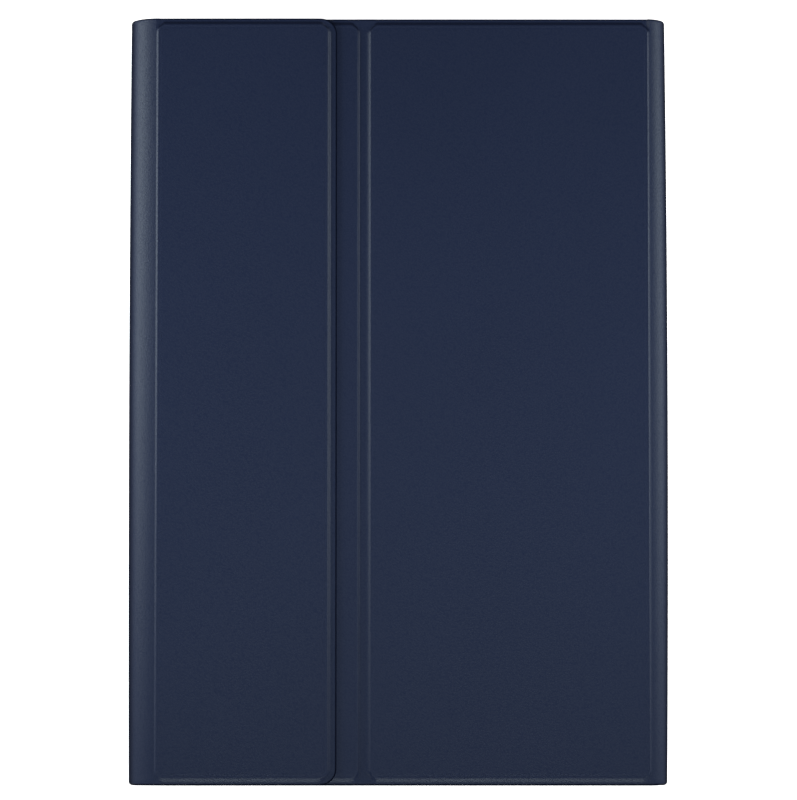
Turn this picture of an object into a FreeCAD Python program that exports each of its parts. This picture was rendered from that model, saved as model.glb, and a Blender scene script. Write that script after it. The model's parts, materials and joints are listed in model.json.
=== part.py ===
import FreeCAD
import Part
import Sketcher
import os

# Tablet keyboard case, closed. X runs from the spine to the free edge, Y along the spine, Z up.
# The origin is at the middle of the bottom of the case. All sizes are in millimetres.

# Driving dimensions
DIMENSIONS = {
    # Outline of the closed case from the spine to the free edge
    "spine_reach": 9.0,
    "flap_board_width": 58.1,
    "flap_rim": 2.86,
    "lower_lap": 7.24,
    "groove_width": 4.2,
    "upper_board_width": 93.5,
    "right_rim": 6.43,
    "end_rim": 2.1,
    "holder_end_margin": 2.2,
    "lower_setback": 1.5,
    "deck_setback": 1.5,
    # Layers of every panel
    "skin_thickness": 0.6,
    "board_thickness": 1.0,
    "lining_thickness": 0.4,
    "board_corner_radius": 3.0,
    "flap_corner_radius": 5.5,
    "lap_gap": 0.1,
    # Spine and rolled edges
    "spine_roll_radius": 7.0,
    "emboss_step": 0.5,
    "free_roll_radius": 4.0,
    # Magnets in the flap and in the panel under it
    "magnet_diameter": 10.0,
    "magnet_inset": 12.0,
    "magnet_end_inset": 26.9,
    "magnet_clearance": 0.05,
    # Keyboard housing
    "keyboard_setback": 3.65,
    "keyboard_height": 4.8,
    "keyboard_corner_radius": 4.0,
    "case_floor_thickness": 0.8,
    "case_wall": 1.2,
    "frame_thickness": 1.0,
    "frame_front_margin": 5.0,
    "frame_rear_margin": 2.0,
    "frame_side_margin": 2.9,
    "keyboard_end_margin": 5.0,
    "plate_thickness": 0.3,
    "membrane_thickness": 0.2,
    "plate_margin": 6.0,
    # Keys
    "row_pitch": 17.0,
    "function_pitch": 12.0,
    "key_spacing": 2.2,
    "key_height": 2.6,
    "key_rise": 1.4,
    "key_corner_radius": 1.5,
    "key_taper": 6.0,
    "window_clearance": 0.4,
    "half_key_split": 0.9,
    "dome_diameter": 6.0,
    "dome_taper": 25.0,
    "bumper_diameter": 3.0,
    "bumper_height": 1.8,
    "bumper_end_inset": 10.0,
    # Rest for the lower edge of the tablet, behind the keys
    "rail_depth": 17.0,
    "rail_rise": 1.6,
    "rest_slot_width": 9.0,
    "rest_slot_depth": 1.4,
    "rest_slot_rear_wall": 4.5,
    "rest_slot_end_wall": 6.0,
    "grip_thickness": 0.4,
    "grip_clearance": 0.2,
    "rest_magnet_gap": 4.0,
    "rest_magnet_width": 6.0,
    "rest_magnet_height": 2.4,
    # Electronics in the bay under the rest
    "bay_clearance": 0.4,
    "battery_height": 2.6,
    "circuit_thickness": 0.8,
    "socket_width": 7.5,
    "socket_depth": 7.0,
    "socket_height": 2.5,
    "socket_wall": 0.3,
    "socket_inset": 1.2,
    "socket_tongue": 0.7,
    "socket_clearance": 0.1,
    "switch_width": 4.4,
    "switch_depth": 4.4,
    "switch_height": 1.6,
    "knob_width": 1.8,
    "knob_height": 1.2,
    "knob_depth": 3.0,
    "knob_proud": 0.7,
    "knob_travel": 1.5,
    "knob_clearance": 0.3,
    "button_diameter": 5.0,
    "button_rise": 0.6,
    "button_height": 1.5,
    "button_end_inset": 4.5,
    "lens_diameter": 1.6,
    "lens_spacing": 3.5,
    "lens_first": 12.0,
    "lens_clearance": 0.05,
    # Screws that hold the keyboard housing together
    "screw_diameter": 1.6,
    "screw_head_diameter": 3.2,
    "screw_head_height": 0.8,
    "screw_clearance": 0.05,
    "screw_end_gap": 0.2,
    "boss_diameter": 4.4,
    "boss_split": 1.8,
    "front_screw_inset": 34.0,
    "rear_screw_spacing": 46.0,
    # Tablet and the holder that grips it
    "tablet_length": 250.6,
    "tablet_thickness": 7.5,
    "tablet_play": 0.2,
    "cover_gap": 0.3,
    "holder_wall": 1.3,
    "holder_back": 1.1,
    "holder_lip": 0.9,
    "holder_lip_reach": 1.2,
    "holder_setback": 3.0,
    "holder_fold_gap": 2.2,
    "holder_side_relief": 20.0,
    "holder_corner_radius": 6.0,
    "grip_corner_gap": 12.0,
    "pad_thickness": 0.4,
    "pad_width": 24.0,
    "pad_margin": 8.0,
}

# Width of the key rows in key pitches, and how many rows of full keys there are
ROW_UNITS = 14.25
FULL_ROWS = 5
# How many there are of each like piece in one line
BOARD_MAGNETS = 5
REST_MAGNETS = 3
SCREWS_IN_LINE = 3
BUMPERS = 4
LENSES = 3
HOLDER_PADS = 3

# Places and heights worked out from the driving dimensions
PLACES = {
    "case_width": "dims.spine_reach + dims.flap_board_width + dims.flap_rim + dims.lower_lap"
                  " + dims.groove_width + dims.upper_board_width + dims.right_rim",
    "holder_inner_half": "dims.tablet_length / 2 + dims.tablet_play",
    "holder_half": "place.holder_inner_half + dims.holder_wall",
    "half_length": "place.holder_half + dims.holder_end_margin",
    "case_length": "2 * place.half_length",
    "raised_half": "place.half_length - dims.end_rim",
    "board_half": "place.raised_half - dims.skin_thickness",
    "panel": "dims.skin_thickness + dims.board_thickness + dims.lining_thickness",
    "web": "dims.skin_thickness + dims.lining_thickness",
    # Across the case
    "spine_face": "-place.case_width / 2",
    "right_face": "place.case_width / 2",
    "flap_left": "place.spine_face + dims.spine_reach",
    "flap_right": "place.flap_left + dims.flap_board_width",
    "flap_edge": "place.flap_right + dims.flap_rim",
    "lower_edge": "place.flap_left + dims.lower_setback",
    "lower_left": "place.lower_edge + dims.end_rim",
    "lower_right": "place.flap_edge + dims.lower_lap",
    "upper_left": "place.lower_right + dims.groove_width",
    "upper_right": "place.upper_left + dims.upper_board_width",
    "roll_start": "place.right_face - dims.free_roll_radius",
    "deck_edge": "place.right_face - dims.deck_setback",
    "deck_right": "place.deck_edge - dims.end_rim",
    "magnet_line": "place.flap_right - dims.magnet_inset",
    "magnet_spacing": f"2 * (place.raised_half - dims.magnet_end_inset) / {BOARD_MAGNETS - 1}",
    # Heights of the keyboard
    "floor_top": "place.panel + dims.case_floor_thickness",
    "plate_top": "place.floor_top + dims.plate_thickness",
    "membrane_top": "place.plate_top + dims.membrane_thickness",
    "frame_top": "place.panel + dims.keyboard_height",
    "frame_bottom": "place.frame_top - dims.frame_thickness",
    "key_top": "place.frame_top + dims.key_rise",
    "key_bottom": "place.key_top - dims.key_height",
    "bumper_top": "place.frame_top + dims.bumper_height",
    "rail_top": "place.frame_top + dims.rail_rise",
    "rest_floor": "place.rail_top - dims.rest_slot_depth",
    "boss_split_height": "place.frame_bottom - dims.boss_split",
    # Heights of the tablet cover and the flap
    "lip_bottom": "place.bumper_top + dims.cover_gap",
    "lip_top": "place.lip_bottom + dims.holder_lip",
    "pad_bottom": "place.lip_top + dims.tablet_thickness + dims.tablet_play",
    "back_bottom": "place.pad_bottom + dims.pad_thickness",
    "stand_bottom": "place.back_bottom + dims.holder_back",
    "stand_top": "place.stand_bottom + place.panel",
    "flap_bottom": "place.stand_top + dims.lap_gap",
    "case_height": "place.flap_bottom + place.panel",
    # Round parts of the spine and of the free edge
    "spine_low": "dims.emboss_step + dims.spine_roll_radius",
    "spine_high": "place.case_height - dims.emboss_step - dims.spine_roll_radius",
    "roll_top": "place.stand_bottom + place.web",
    "roll_low": "place.roll_top - dims.free_roll_radius",
    # Keyboard from its front edge to the rest behind the keys
    "keyboard_front": "place.right_face - dims.keyboard_setback",
    "key_front": "place.keyboard_front - dims.frame_front_margin",
    "function_front": f"place.key_front - {FULL_ROWS} * dims.row_pitch",
    "rail_front": "place.function_front - dims.function_pitch - dims.frame_rear_margin",
    "keyboard_rear": "place.rail_front - dims.rail_depth",
    "keyboard_half": "place.half_length - dims.keyboard_end_margin",
    "key_field_half": "place.keyboard_half - dims.frame_side_margin",
    "key_pitch": f"2 * place.key_field_half / {ROW_UNITS}",
    "bumper_spacing": f"2 * (place.keyboard_half - dims.bumper_end_inset) / {BUMPERS - 1}",
    "inside_half": "place.keyboard_half - dims.case_wall",
    "function_line": "place.function_front - dims.function_pitch / 2",
    "rest_slot_rear": "place.keyboard_rear + dims.rest_slot_rear_wall",
    "rest_slot_front": "place.rest_slot_rear + dims.rest_slot_width",
    "rest_slot_half": "place.keyboard_half - dims.rest_slot_end_wall",
    "rest_line": "(place.rest_slot_rear + place.rest_slot_front) / 2",
    "bay_rear": "place.keyboard_rear + dims.case_wall + dims.bay_clearance",
    "bay_front": "place.rail_front - dims.bay_clearance",
    "bay_half": "place.inside_half - dims.bay_clearance",
    "front_screw_spacing": "place.keyboard_half - dims.front_screw_inset",
    "rear_boss_end": "dims.rear_screw_spacing + dims.boss_diameter / 2 + dims.bay_clearance",
    "rest_magnet_length": f"(2 * dims.rear_screw_spacing - {REST_MAGNETS - 1} * dims.rest_magnet_gap)"
                          f" / {REST_MAGNETS}",
    "rest_magnet_spacing": "place.rest_magnet_length + dims.rest_magnet_gap",
    "front_screw_line": "place.keyboard_front - dims.case_wall - dims.boss_diameter / 2",
    "rear_screw_line": "place.keyboard_rear + dims.case_wall + dims.boss_diameter / 2",
    # Electronics
    "socket_inner": "place.keyboard_half - dims.socket_depth",
    "socket_rear": "place.keyboard_rear + dims.keyboard_corner_radius + dims.bay_clearance",
    "socket_front": "place.socket_rear + dims.socket_width",
    "socket_bottom": "place.floor_top + dims.bay_clearance",
    "socket_top": "place.socket_bottom + dims.socket_height",
    "circuit_bottom": "place.floor_top + dims.bay_clearance / 2",
    "circuit_top": "place.circuit_bottom + dims.circuit_thickness",
    "switch_rear": "place.bay_front - dims.switch_width",
    "switch_outer": "place.inside_half - dims.bay_clearance",
    "switch_inner": "place.switch_outer - dims.switch_depth",
    "switch_top": "place.circuit_top + dims.switch_height",
    "knob_rear": "(place.switch_rear + place.bay_front - dims.knob_width - dims.knob_travel) / 2",
    "knob_front": "place.knob_rear + dims.knob_width",
    "knob_bottom": "(place.circuit_top + place.switch_top - dims.knob_height) / 2",
    "knob_top": "place.knob_bottom + dims.knob_height",
    "knob_outer": "place.keyboard_half + dims.knob_proud",
    "button_line": "place.key_field_half - dims.button_end_inset",
    "lens_line": "place.button_line - dims.lens_first",
    "button_top": "place.frame_top + dims.button_rise",
    # Tablet holder
    "holder_left": "place.upper_left + dims.holder_fold_gap",
    "holder_right": "place.right_face - dims.holder_setback",
    "holder_inner_right": "place.holder_right - dims.holder_wall",
    "lip_half": "place.holder_inner_half - dims.holder_lip_reach",
    "lip_right": "place.holder_inner_right - dims.holder_lip_reach",
    "holder_grip_left": "place.holder_left + dims.holder_side_relief",
}

# How far a cut runs past the face that it opens
OVERSHOOT = 1.0
# How close two lengths are to count as the same
SAME = 0.001

doc = FreeCAD.newDocument("tablet_keyboard_case")


def fill_sheet(name, cells, as_text):
    """Write one named cell per entry, down the first column of a new sheet."""
    sheet = doc.addObject("Spreadsheet::Sheet", name)
    for row, (alias, content) in enumerate(cells.items(), start=1):
        sheet.set(f"A{row}", as_text(content))
        sheet.setAlias(f"A{row}", alias)
    doc.recompute()
    return sheet


dims = fill_sheet("dims", DIMENSIONS, str)
place = fill_sheet("place", PLACES, lambda formula: "=" + formula)


def number(expression):
    """The present value of an expression on the two sheets."""
    return float(place.evalExpression(expression))


# The finished pieces, each with the node's name as its label
nodes = []


class Piece:
    """One physical piece, or a group of like pieces: a body made of sketched pads and cuts."""

    def __init__(self, node, is_group=False):
        self.node = node
        self.is_group = is_group
        self.body = doc.addObject("PartDesign::Body", node)
        self.body.Label = node
        self.datum = {feature.Role: feature for feature in self.body.Origin.OriginFeatures}
        nodes.append(self.body)

    def add(self, kind, word):
        """Add a feature or sketch with a name of its own to the body."""
        feature = self.body.newObject(kind, f"{self.node}_{word}_{len(self.body.Group)}")
        if self.is_group and "Refine" in feature.PropertiesList:
            feature.Refine = False
        return feature

    def sketch(self, plane, height="0"):
        sketch = self.add("Sketcher::SketchObject", "sketch")
        sketch.AttachmentSupport = [(self.datum[plane], "")]
        sketch.MapMode = "FlatFace"
        sketch.setExpression("AttachmentOffset.Base.z", height)
        return sketch

    def bind(self, sketch, constraint, expression):
        """Add a constraint whose value follows an expression."""
        index = sketch.addConstraint(constraint)
        label = f"size_{index}"
        sketch.renameConstraint(index, label)
        sketch.setExpression(f"Constraints.{label}", expression)

    def fix(self, sketch, kind, curve, point, expression):
        """Hold one point of a sketch at a distance from the sketch's origin."""
        self.bind(sketch, Sketcher.Constraint(kind, -1, 1, curve, point, number(expression)), expression)

    def outline(self, box, height, left_radius=None, right_radius=None):
        """A rectangle seen from above, with its left and right corners rounded if a radius is given."""
        x_low, x_high, y_low, y_high = box
        sketch = self.sketch("XY_Plane", height)
        left, right, low, high = (number(edge) for edge in box)
        radii = [left_radius, right_radius, right_radius, left_radius]
        corners = [(left, low), (right, low), (right, high), (left, high)]
        inward = [(1, 1), (-1, 1), (-1, -1), (1, -1)]
        sizes = [number(radius) if radius else 0.0 for radius in radii]
        starts = []
        ends = []
        for index, (x, y) in enumerate(corners):
            along_x = FreeCAD.Vector(x + inward[index][0] * sizes[index], y, 0)
            along_y = FreeCAD.Vector(x, y + inward[index][1] * sizes[index], 0)
            arrives_along_x = index % 2 == 1
            ends.append(along_x if arrives_along_x else along_y)
            starts.append(along_y if arrives_along_x else along_x)
        for side in range(4):
            sketch.addGeometry(Part.LineSegment(starts[side], ends[(side + 1) % 4]), False)
        for side in range(4):
            direction = "Horizontal" if side % 2 == 0 else "Vertical"
            sketch.addConstraint(Sketcher.Constraint(direction, side))
        for corner in range(4):
            before = (corner + 3) % 4
            if not radii[corner]:
                sketch.addConstraint(Sketcher.Constraint("Coincident", before, 2, corner, 1))
                continue
            centre_x = corners[corner][0] + inward[corner][0] * sizes[corner]
            centre_y = corners[corner][1] + inward[corner][1] * sizes[corner]
            centre = FreeCAD.Vector(centre_x, centre_y, 0)
            circle = Part.Circle(centre, FreeCAD.Vector(0, 0, 1), sizes[corner])
            quarter = FreeCAD.Units.Quantity("90 deg").getValueAs("rad").Value
            first = (corner + 2) * quarter
            arc = sketch.addGeometry(Part.ArcOfCircle(circle, first, first + quarter), False)
            sketch.addConstraint(Sketcher.Constraint("Tangent", before, 2, arc, 1))
            sketch.addConstraint(Sketcher.Constraint("Tangent", arc, 2, corner, 1))
            self.bind(sketch, Sketcher.Constraint("Radius", arc, sizes[corner]), radii[corner])
        self.fix(sketch, "DistanceY", 0, 1, y_low)
        self.fix(sketch, "DistanceX", 1, 1, x_high)
        self.fix(sketch, "DistanceY", 2, 1, y_high)
        self.fix(sketch, "DistanceX", 3, 1, x_low)
        return sketch

    def pad(self, box, low, high, **corners):
        """Add material over a rectangle, from one height to another."""
        return self.raise_from(self.outline(box, low, **corners), low, high)

    def raise_from(self, sketch, low, high):
        pad = self.add("PartDesign::Pad", "pad")
        pad.Profile = sketch
        pad.setExpression("Length", f"{high} - ({low})")
        return pad

    def cut(self, box, low, high, **corners):
        """Take material away over a rectangle, from one height to another."""
        return self.sink_from(self.outline(box, high, **corners), low, high)

    def sink_from(self, sketch, low, high):
        doc.recompute()
        before = self.body.Shape.Volume
        pocket = self.add("PartDesign::Pocket", "cut")
        pocket.Profile = sketch
        pocket.setExpression("Length", f"{high} - ({low})")
        doc.recompute()
        if self.body.Shape.Volume > before - SAME:
            raise RuntimeError(f"a cut in {self.node} took nothing away")
        return pocket

    def circle(self, x, y, diameter, height):
        sketch = self.sketch("XY_Plane", height)
        centre = FreeCAD.Vector(number(x), number(y), 0)
        radius = number(diameter) / 2
        sketch.addGeometry(Part.Circle(centre, FreeCAD.Vector(0, 0, 1), radius), False)
        self.fix(sketch, "DistanceX", 0, 3, x)
        self.fix(sketch, "DistanceY", 0, 3, y)
        self.bind(sketch, Sketcher.Constraint("Radius", 0, radius), f"({diameter}) / 2")
        return sketch

    def post(self, x, y, diameter, low, high):
        """Add a round post."""
        return self.raise_from(self.circle(x, y, diameter, low), low, high)

    def bore(self, x, y, diameter, low, high):
        """Cut a round hole."""
        return self.sink_from(self.circle(x, y, diameter, high), low, high)

    def row(self, feature, spacing, count):
        """Repeat a feature along the spine's direction."""
        if count < 2:
            return
        pattern = self.add("PartDesign::LinearPattern", "row")
        pattern.Originals = [feature]
        pattern.Direction = (self.datum["Y_Axis"], [""])
        pattern.Mode = "Spacing"
        pattern.setExpression("Offset", spacing)
        pattern.Occurrences = count
        self.body.Tip = pattern
        doc.recompute()

    def quarter_roll(self, centre_x, centre_z, radius, inner, side, up):
        """Add a quarter-round strip along the spine's direction, between two radii about one centre."""
        sketch = self.sketch("XZ_Plane")
        x = number(centre_x)
        z = number(centre_z)
        sizes = [number(radius), number(inner)]
        quarter = FreeCAD.Units.Quantity("90 deg").getValueAs("rad").Value
        first = {(1, 1): 0, (-1, 1): 1, (-1, -1): 2, (1, -1): 3}[(side, up)] * quarter
        for size in sizes:
            circle = Part.Circle(FreeCAD.Vector(x, z, 0), FreeCAD.Vector(0, 0, 1), size)
            sketch.addGeometry(Part.ArcOfCircle(circle, first, first + quarter), False)
        ends = [[sketch.getPoint(arc, point) for arc in (0, 1)] for point in (1, 2)]
        for end, (outer_end, inner_end) in enumerate(ends):
            line = sketch.addGeometry(Part.LineSegment(outer_end, inner_end), False)
            sketch.addConstraint(Sketcher.Constraint("Coincident", line, 1, 0, end + 1))
            sketch.addConstraint(Sketcher.Constraint("Coincident", line, 2, 1, end + 1))
            flat = abs(outer_end.y - inner_end.y) < SAME
            sketch.addConstraint(Sketcher.Constraint("Horizontal" if flat else "Vertical", line))
        sketch.addConstraint(Sketcher.Constraint("Coincident", 0, 3, 1, 3))
        self.bind(sketch, Sketcher.Constraint("Radius", 0, sizes[0]), radius)
        self.bind(sketch, Sketcher.Constraint("Radius", 1, sizes[1]), inner)
        self.fix(sketch, "DistanceX", 0, 3, centre_x)
        self.fix(sketch, "DistanceY", 0, 3, centre_z)
        for arc_end, line in ((1, 2), (2, 3)):
            kind = "DistanceY" if abs(ends[arc_end - 1][0].y - z) < SAME else "DistanceX"
            where = centre_z if kind == "DistanceY" else centre_x
            self.fix(sketch, kind, line, 1, where)
        pad = self.add("PartDesign::Pad", "roll")
        pad.Profile = sketch
        pad.Midplane = True
        pad.setExpression("Length", "place.case_length")
        return pad


def cut_apart(node, base, tool):
    """A piece that is one body less another, which then are no pieces of their own."""
    rest = doc.addObject("Part::Cut", node)
    rest.Label = node
    rest.Base = base.body
    rest.Tool = tool.body
    nodes.remove(base.body)
    nodes.remove(tool.body)
    nodes.append(rest)


def first_of(count, spacing):
    """Place of the first of several like pieces that stand evenly about the middle."""
    return f"-{(count - 1) / 2} * {spacing}"


def whole(left, right, half):
    """A rectangle from one X to another, the same length both ways from the middle."""
    return left, right, f"-({half})", half


def around(x, y, width, length):
    """A rectangle about its own middle."""
    return f"{x} - ({width}) / 2", f"{x} + ({width}) / 2", f"{y} - ({length}) / 2", f"{y} + ({length}) / 2"


# Panels of the cover: a board between an outer skin that is pressed over it and a flat lining


def make_board(node, left, right, low):
    """Stiff board inside the skin's raised field."""
    box = whole(f"{left} + dims.skin_thickness", f"{right} - dims.skin_thickness", "place.board_half")
    board = Piece(node)
    corners = {"left_radius": "dims.board_corner_radius", "right_radius": "dims.board_corner_radius"}
    board.pad(box, low, f"{low} + dims.board_thickness", **corners)
    return board


def make_lining(node, left, right, low, **corners):
    """Thin sheet that covers the inner side of a panel."""
    lining = Piece(node)
    lining.pad(whole(left, right, "place.half_length"), low, f"{low} + dims.lining_thickness", **corners)
    return lining


def make_skin(node, edges, field, rim_low, field_low, board_low, **corners):
    """Outer skin: a thin rim all round and a raised field, hollow where the board sits."""
    skin = Piece(node)
    radius = "dims.board_corner_radius"
    field_corners = {"left_radius": radius, "right_radius": radius}
    rim = whole(edges[0], edges[1], "place.half_length")
    raised = whole(field[0], field[1], "place.raised_half")
    hollow = whole(f"{field[0]} + dims.skin_thickness", f"{field[1]} - dims.skin_thickness",
                   "place.board_half")
    skin.pad(rim, rim_low, f"{rim_low} + dims.skin_thickness", **corners)
    skin.pad(raised, field_low, f"{field_low} + dims.board_thickness + dims.skin_thickness", **field_corners)
    skin.cut(hollow, board_low, f"{board_low} + dims.board_thickness", **field_corners)
    return skin


def make_top_panel(name, edges, field, low, **corners):
    """Skin, board and lining of a panel whose outer side faces up."""
    board_low = f"{low} + dims.lining_thickness"
    skin = make_skin(f"{name}_skin", edges, field, board_low, board_low, board_low, **corners)
    board = make_board(f"{name}_board", field[0], field[1], board_low)
    make_lining(f"{name}_lining", edges[0], edges[1], low, **corners)
    return skin, board


def make_deck():
    """Panel under the keyboard, with its outer side facing down."""
    field = ("place.flap_left", "place.deck_right")
    edges = ("place.flap_left", "place.deck_edge")
    make_skin("deck_skin", edges, field, "dims.board_thickness", "0", "dims.skin_thickness")
    make_board("deck_board", field[0], field[1], "dims.skin_thickness")
    make_lining("deck_lining", edges[0], edges[1], "dims.skin_thickness + dims.board_thickness")


def add_magnet_row(board, node, low):
    """Round magnets let into holes of a board."""
    magnets = Piece(node)
    high = f"{low} + dims.board_thickness"
    spacing = "place.magnet_spacing"
    first = first_of(BOARD_MAGNETS, spacing)
    magnet = magnets.post("place.magnet_line", first, "dims.magnet_diameter", low, high)
    magnets.row(magnet, spacing, BOARD_MAGNETS)
    hole_size = "dims.magnet_diameter + 2 * dims.magnet_clearance"
    hole = board.bore("place.magnet_line", first, hole_size, low, high)
    board.row(hole, spacing, BOARD_MAGNETS)


def make_flap():
    """Flap that laps over the lower stand panel and holds it with magnets."""
    low = "place.flap_bottom"
    edges = ("place.flap_left", "place.flap_edge")
    field = ("place.flap_left", "place.flap_right")
    board = make_top_panel("flap", edges, field, low, right_radius="dims.flap_corner_radius")[1]
    add_magnet_row(board, "flap_magnets", f"{low} + dims.lining_thickness")


def make_lower_stand():
    """Panel under the flap, up to the fold groove."""
    low = "place.stand_bottom"
    edges = ("place.lower_edge", "place.lower_right")
    field = ("place.lower_left", "place.lower_right")
    board = make_top_panel("lower_stand", edges, field, low)[1]
    add_magnet_row(board, "lower_stand_magnets", f"{low} + dims.lining_thickness")
    web = Piece("stand_fold_web")
    groove = whole("place.lower_right", "place.upper_left", "place.half_length")
    web.pad(groove, low, f"{low} + place.web")


def make_upper_stand():
    """Wide panel from the fold groove to the free edge, where the sheet rolls down over the holder."""
    low = "place.stand_bottom"
    edges = ("place.upper_left", "place.roll_start")
    field = ("place.upper_left", "place.upper_right")
    skin = make_top_panel("upper_stand", edges, field, low)[0]
    inner = "dims.free_roll_radius - dims.skin_thickness"
    skin.quarter_roll("place.roll_start", "place.roll_low", "dims.free_roll_radius", inner, 1, 1)


def make_spine():
    """Spine strip between two soft folds."""
    face = "place.spine_face"
    strip_half = "place.half_length"
    layers = (
        ("spine_skin", "0", "dims.skin_thickness", strip_half),
        ("spine_stiffener", "dims.skin_thickness", "dims.board_thickness", "place.raised_half"),
        ("spine_lining", "dims.skin_thickness + dims.board_thickness", "dims.lining_thickness", strip_half),
    )
    for node, depth, thickness, half in layers:
        strip = Piece(node)
        box = whole(f"{face} + {depth}", f"{face} + {depth} + {thickness}", half)
        strip.pad(box, "place.spine_low", "place.spine_high")
    radius = "dims.spine_roll_radius"
    inner = "dims.spine_roll_radius - place.web"
    centre = f"{face} + {radius}"
    flat = whole(centre, "place.flap_left", strip_half)
    lower = Piece("spine_lower_fold")
    lower.quarter_roll(centre, "place.spine_low", radius, inner, -1, -1)
    lower.pad(flat, "dims.emboss_step", "dims.emboss_step + place.web")
    upper = Piece("spine_upper_fold")
    upper.quarter_roll(centre, "place.spine_high", radius, inner, -1, 1)
    top = "place.case_height - dims.emboss_step"
    upper.pad(flat, f"{top} - place.web", top)


# Keyboard housing and the rest for the tablet's lower edge


def add_screw_row(piece, line, spacing, diameter, low, high, is_hole):
    """Round posts or holes along one line of screws."""
    make = piece.bore if is_hole else piece.post
    feature = make(line, first_of(SCREWS_IN_LINE, spacing), diameter, low, high)
    piece.row(feature, spacing, SCREWS_IN_LINE)


SCREW_LINES = (
    ("place.front_screw_line", "place.front_screw_spacing"),
    ("place.rear_screw_line", "dims.rear_screw_spacing"),
)


def make_bottom_case():
    case = Piece("keyboard_bottom_case")
    radius = "dims.keyboard_corner_radius"
    inner_radius = f"{radius} - dims.case_wall"
    outside = whole("place.keyboard_rear", "place.keyboard_front", "place.keyboard_half")
    inside = whole("place.keyboard_rear + dims.case_wall", "place.keyboard_front - dims.case_wall",
                   "place.inside_half")
    case.pad(outside, "place.panel", "place.frame_bottom", left_radius=radius, right_radius=radius)
    case.cut(inside, "place.floor_top", "place.frame_bottom",
             left_radius=inner_radius, right_radius=inner_radius)
    hole = "dims.screw_diameter + 2 * dims.screw_clearance"
    head_hole = "dims.screw_head_diameter + 2 * dims.screw_clearance"
    head_top = "place.panel + dims.screw_head_height + dims.screw_clearance"
    for line, spacing in SCREW_LINES:
        boss_top = "place.boss_split_height"
        add_screw_row(case, line, spacing, "dims.boss_diameter", "place.floor_top", boss_top, False)
        add_screw_row(case, line, spacing, hole, "place.panel", boss_top, True)
        add_screw_row(case, line, spacing, head_hole, "place.panel", head_top, True)
    gap = "dims.socket_clearance"
    outer = f"place.keyboard_half + {OVERSHOOT}"
    wall = f"place.inside_half - {OVERSHOOT}"
    socket_hole = (f"place.socket_rear - {gap}", f"place.socket_front + {gap}", wall, outer)
    case.cut(socket_hole, f"place.socket_bottom - {gap}", f"place.socket_top + {gap}")
    room = "dims.knob_clearance"
    knob_slot = (f"place.knob_rear - {room}", f"place.knob_front + dims.knob_travel + {room}", wall, outer)
    case.cut(knob_slot, f"place.knob_bottom - {room}", f"place.knob_top + {room}")


def make_screws():
    screws = Piece("keyboard_screws")
    head_top = "place.panel + dims.screw_head_height"
    tip = "place.frame_bottom - dims.screw_end_gap"
    for line, spacing in SCREW_LINES:
        add_screw_row(screws, line, spacing, "dims.screw_head_diameter", "place.panel", head_top, False)
        add_screw_row(screws, line, spacing, "dims.screw_diameter", head_top, tip, False)


def add_screw_bosses(piece, line, spacing):
    """Bosses that hang from a top piece and take the screws."""
    hole = "dims.screw_diameter + 2 * dims.screw_clearance"
    low = "place.boss_split_height"
    high = "place.frame_bottom"
    add_screw_row(piece, line, spacing, "dims.boss_diameter", low, high, False)
    add_screw_row(piece, line, spacing, hole, low, high, True)


def make_rest_rail():
    """Raised bar behind the keys with a slot that the tablet's lower edge stands in."""
    rail = Piece("tablet_rest_rail")
    body = whole("place.keyboard_rear", "place.rail_front", "place.keyboard_half")
    rail.pad(body, "place.frame_bottom", "place.rail_top", left_radius="dims.keyboard_corner_radius")
    slot = whole("place.rest_slot_rear", "place.rest_slot_front", "place.rest_slot_half")
    rail.cut(slot, "place.rest_floor", "place.rail_top")
    add_screw_bosses(rail, *SCREW_LINES[1])
    grip = Piece("rest_grip_strip")
    room = "dims.grip_clearance"
    strip = whole(f"place.rest_slot_rear + {room}", f"place.rest_slot_front - {room}",
                  f"place.rest_slot_half - {room}")
    grip.pad(strip, "place.rest_floor", "place.rest_floor + dims.grip_thickness")
    magnets = Piece("rest_magnets")
    spacing = "place.rest_magnet_spacing"
    first = around("place.rest_line", first_of(REST_MAGNETS, spacing), "dims.rest_magnet_width",
                   "place.rest_magnet_length")
    magnet = magnets.pad(first, "place.frame_bottom - dims.rest_magnet_height", "place.frame_bottom")
    magnets.row(magnet, spacing, REST_MAGNETS)


# Keys, in rows from the rest towards the user


def key_line(row):
    """Middle of a row of full keys, counted from the number row."""
    return f"place.function_front + {row + 0.5} * dims.row_pitch"


def half_key_line(row, rear):
    """Middle of the rear or front half of a row that is split in two."""
    shift = "-" if rear else "+"
    return f"{key_line(row)} {shift} dims.row_pitch / 4"


FULL_DEPTH = "dims.row_pitch - dims.key_spacing"
HALF_DEPTH = "dims.row_pitch / 2 - dims.key_spacing / 2 - dims.half_key_split / 2"
FUNCTION_DEPTH = "dims.function_pitch - dims.key_spacing"

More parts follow.
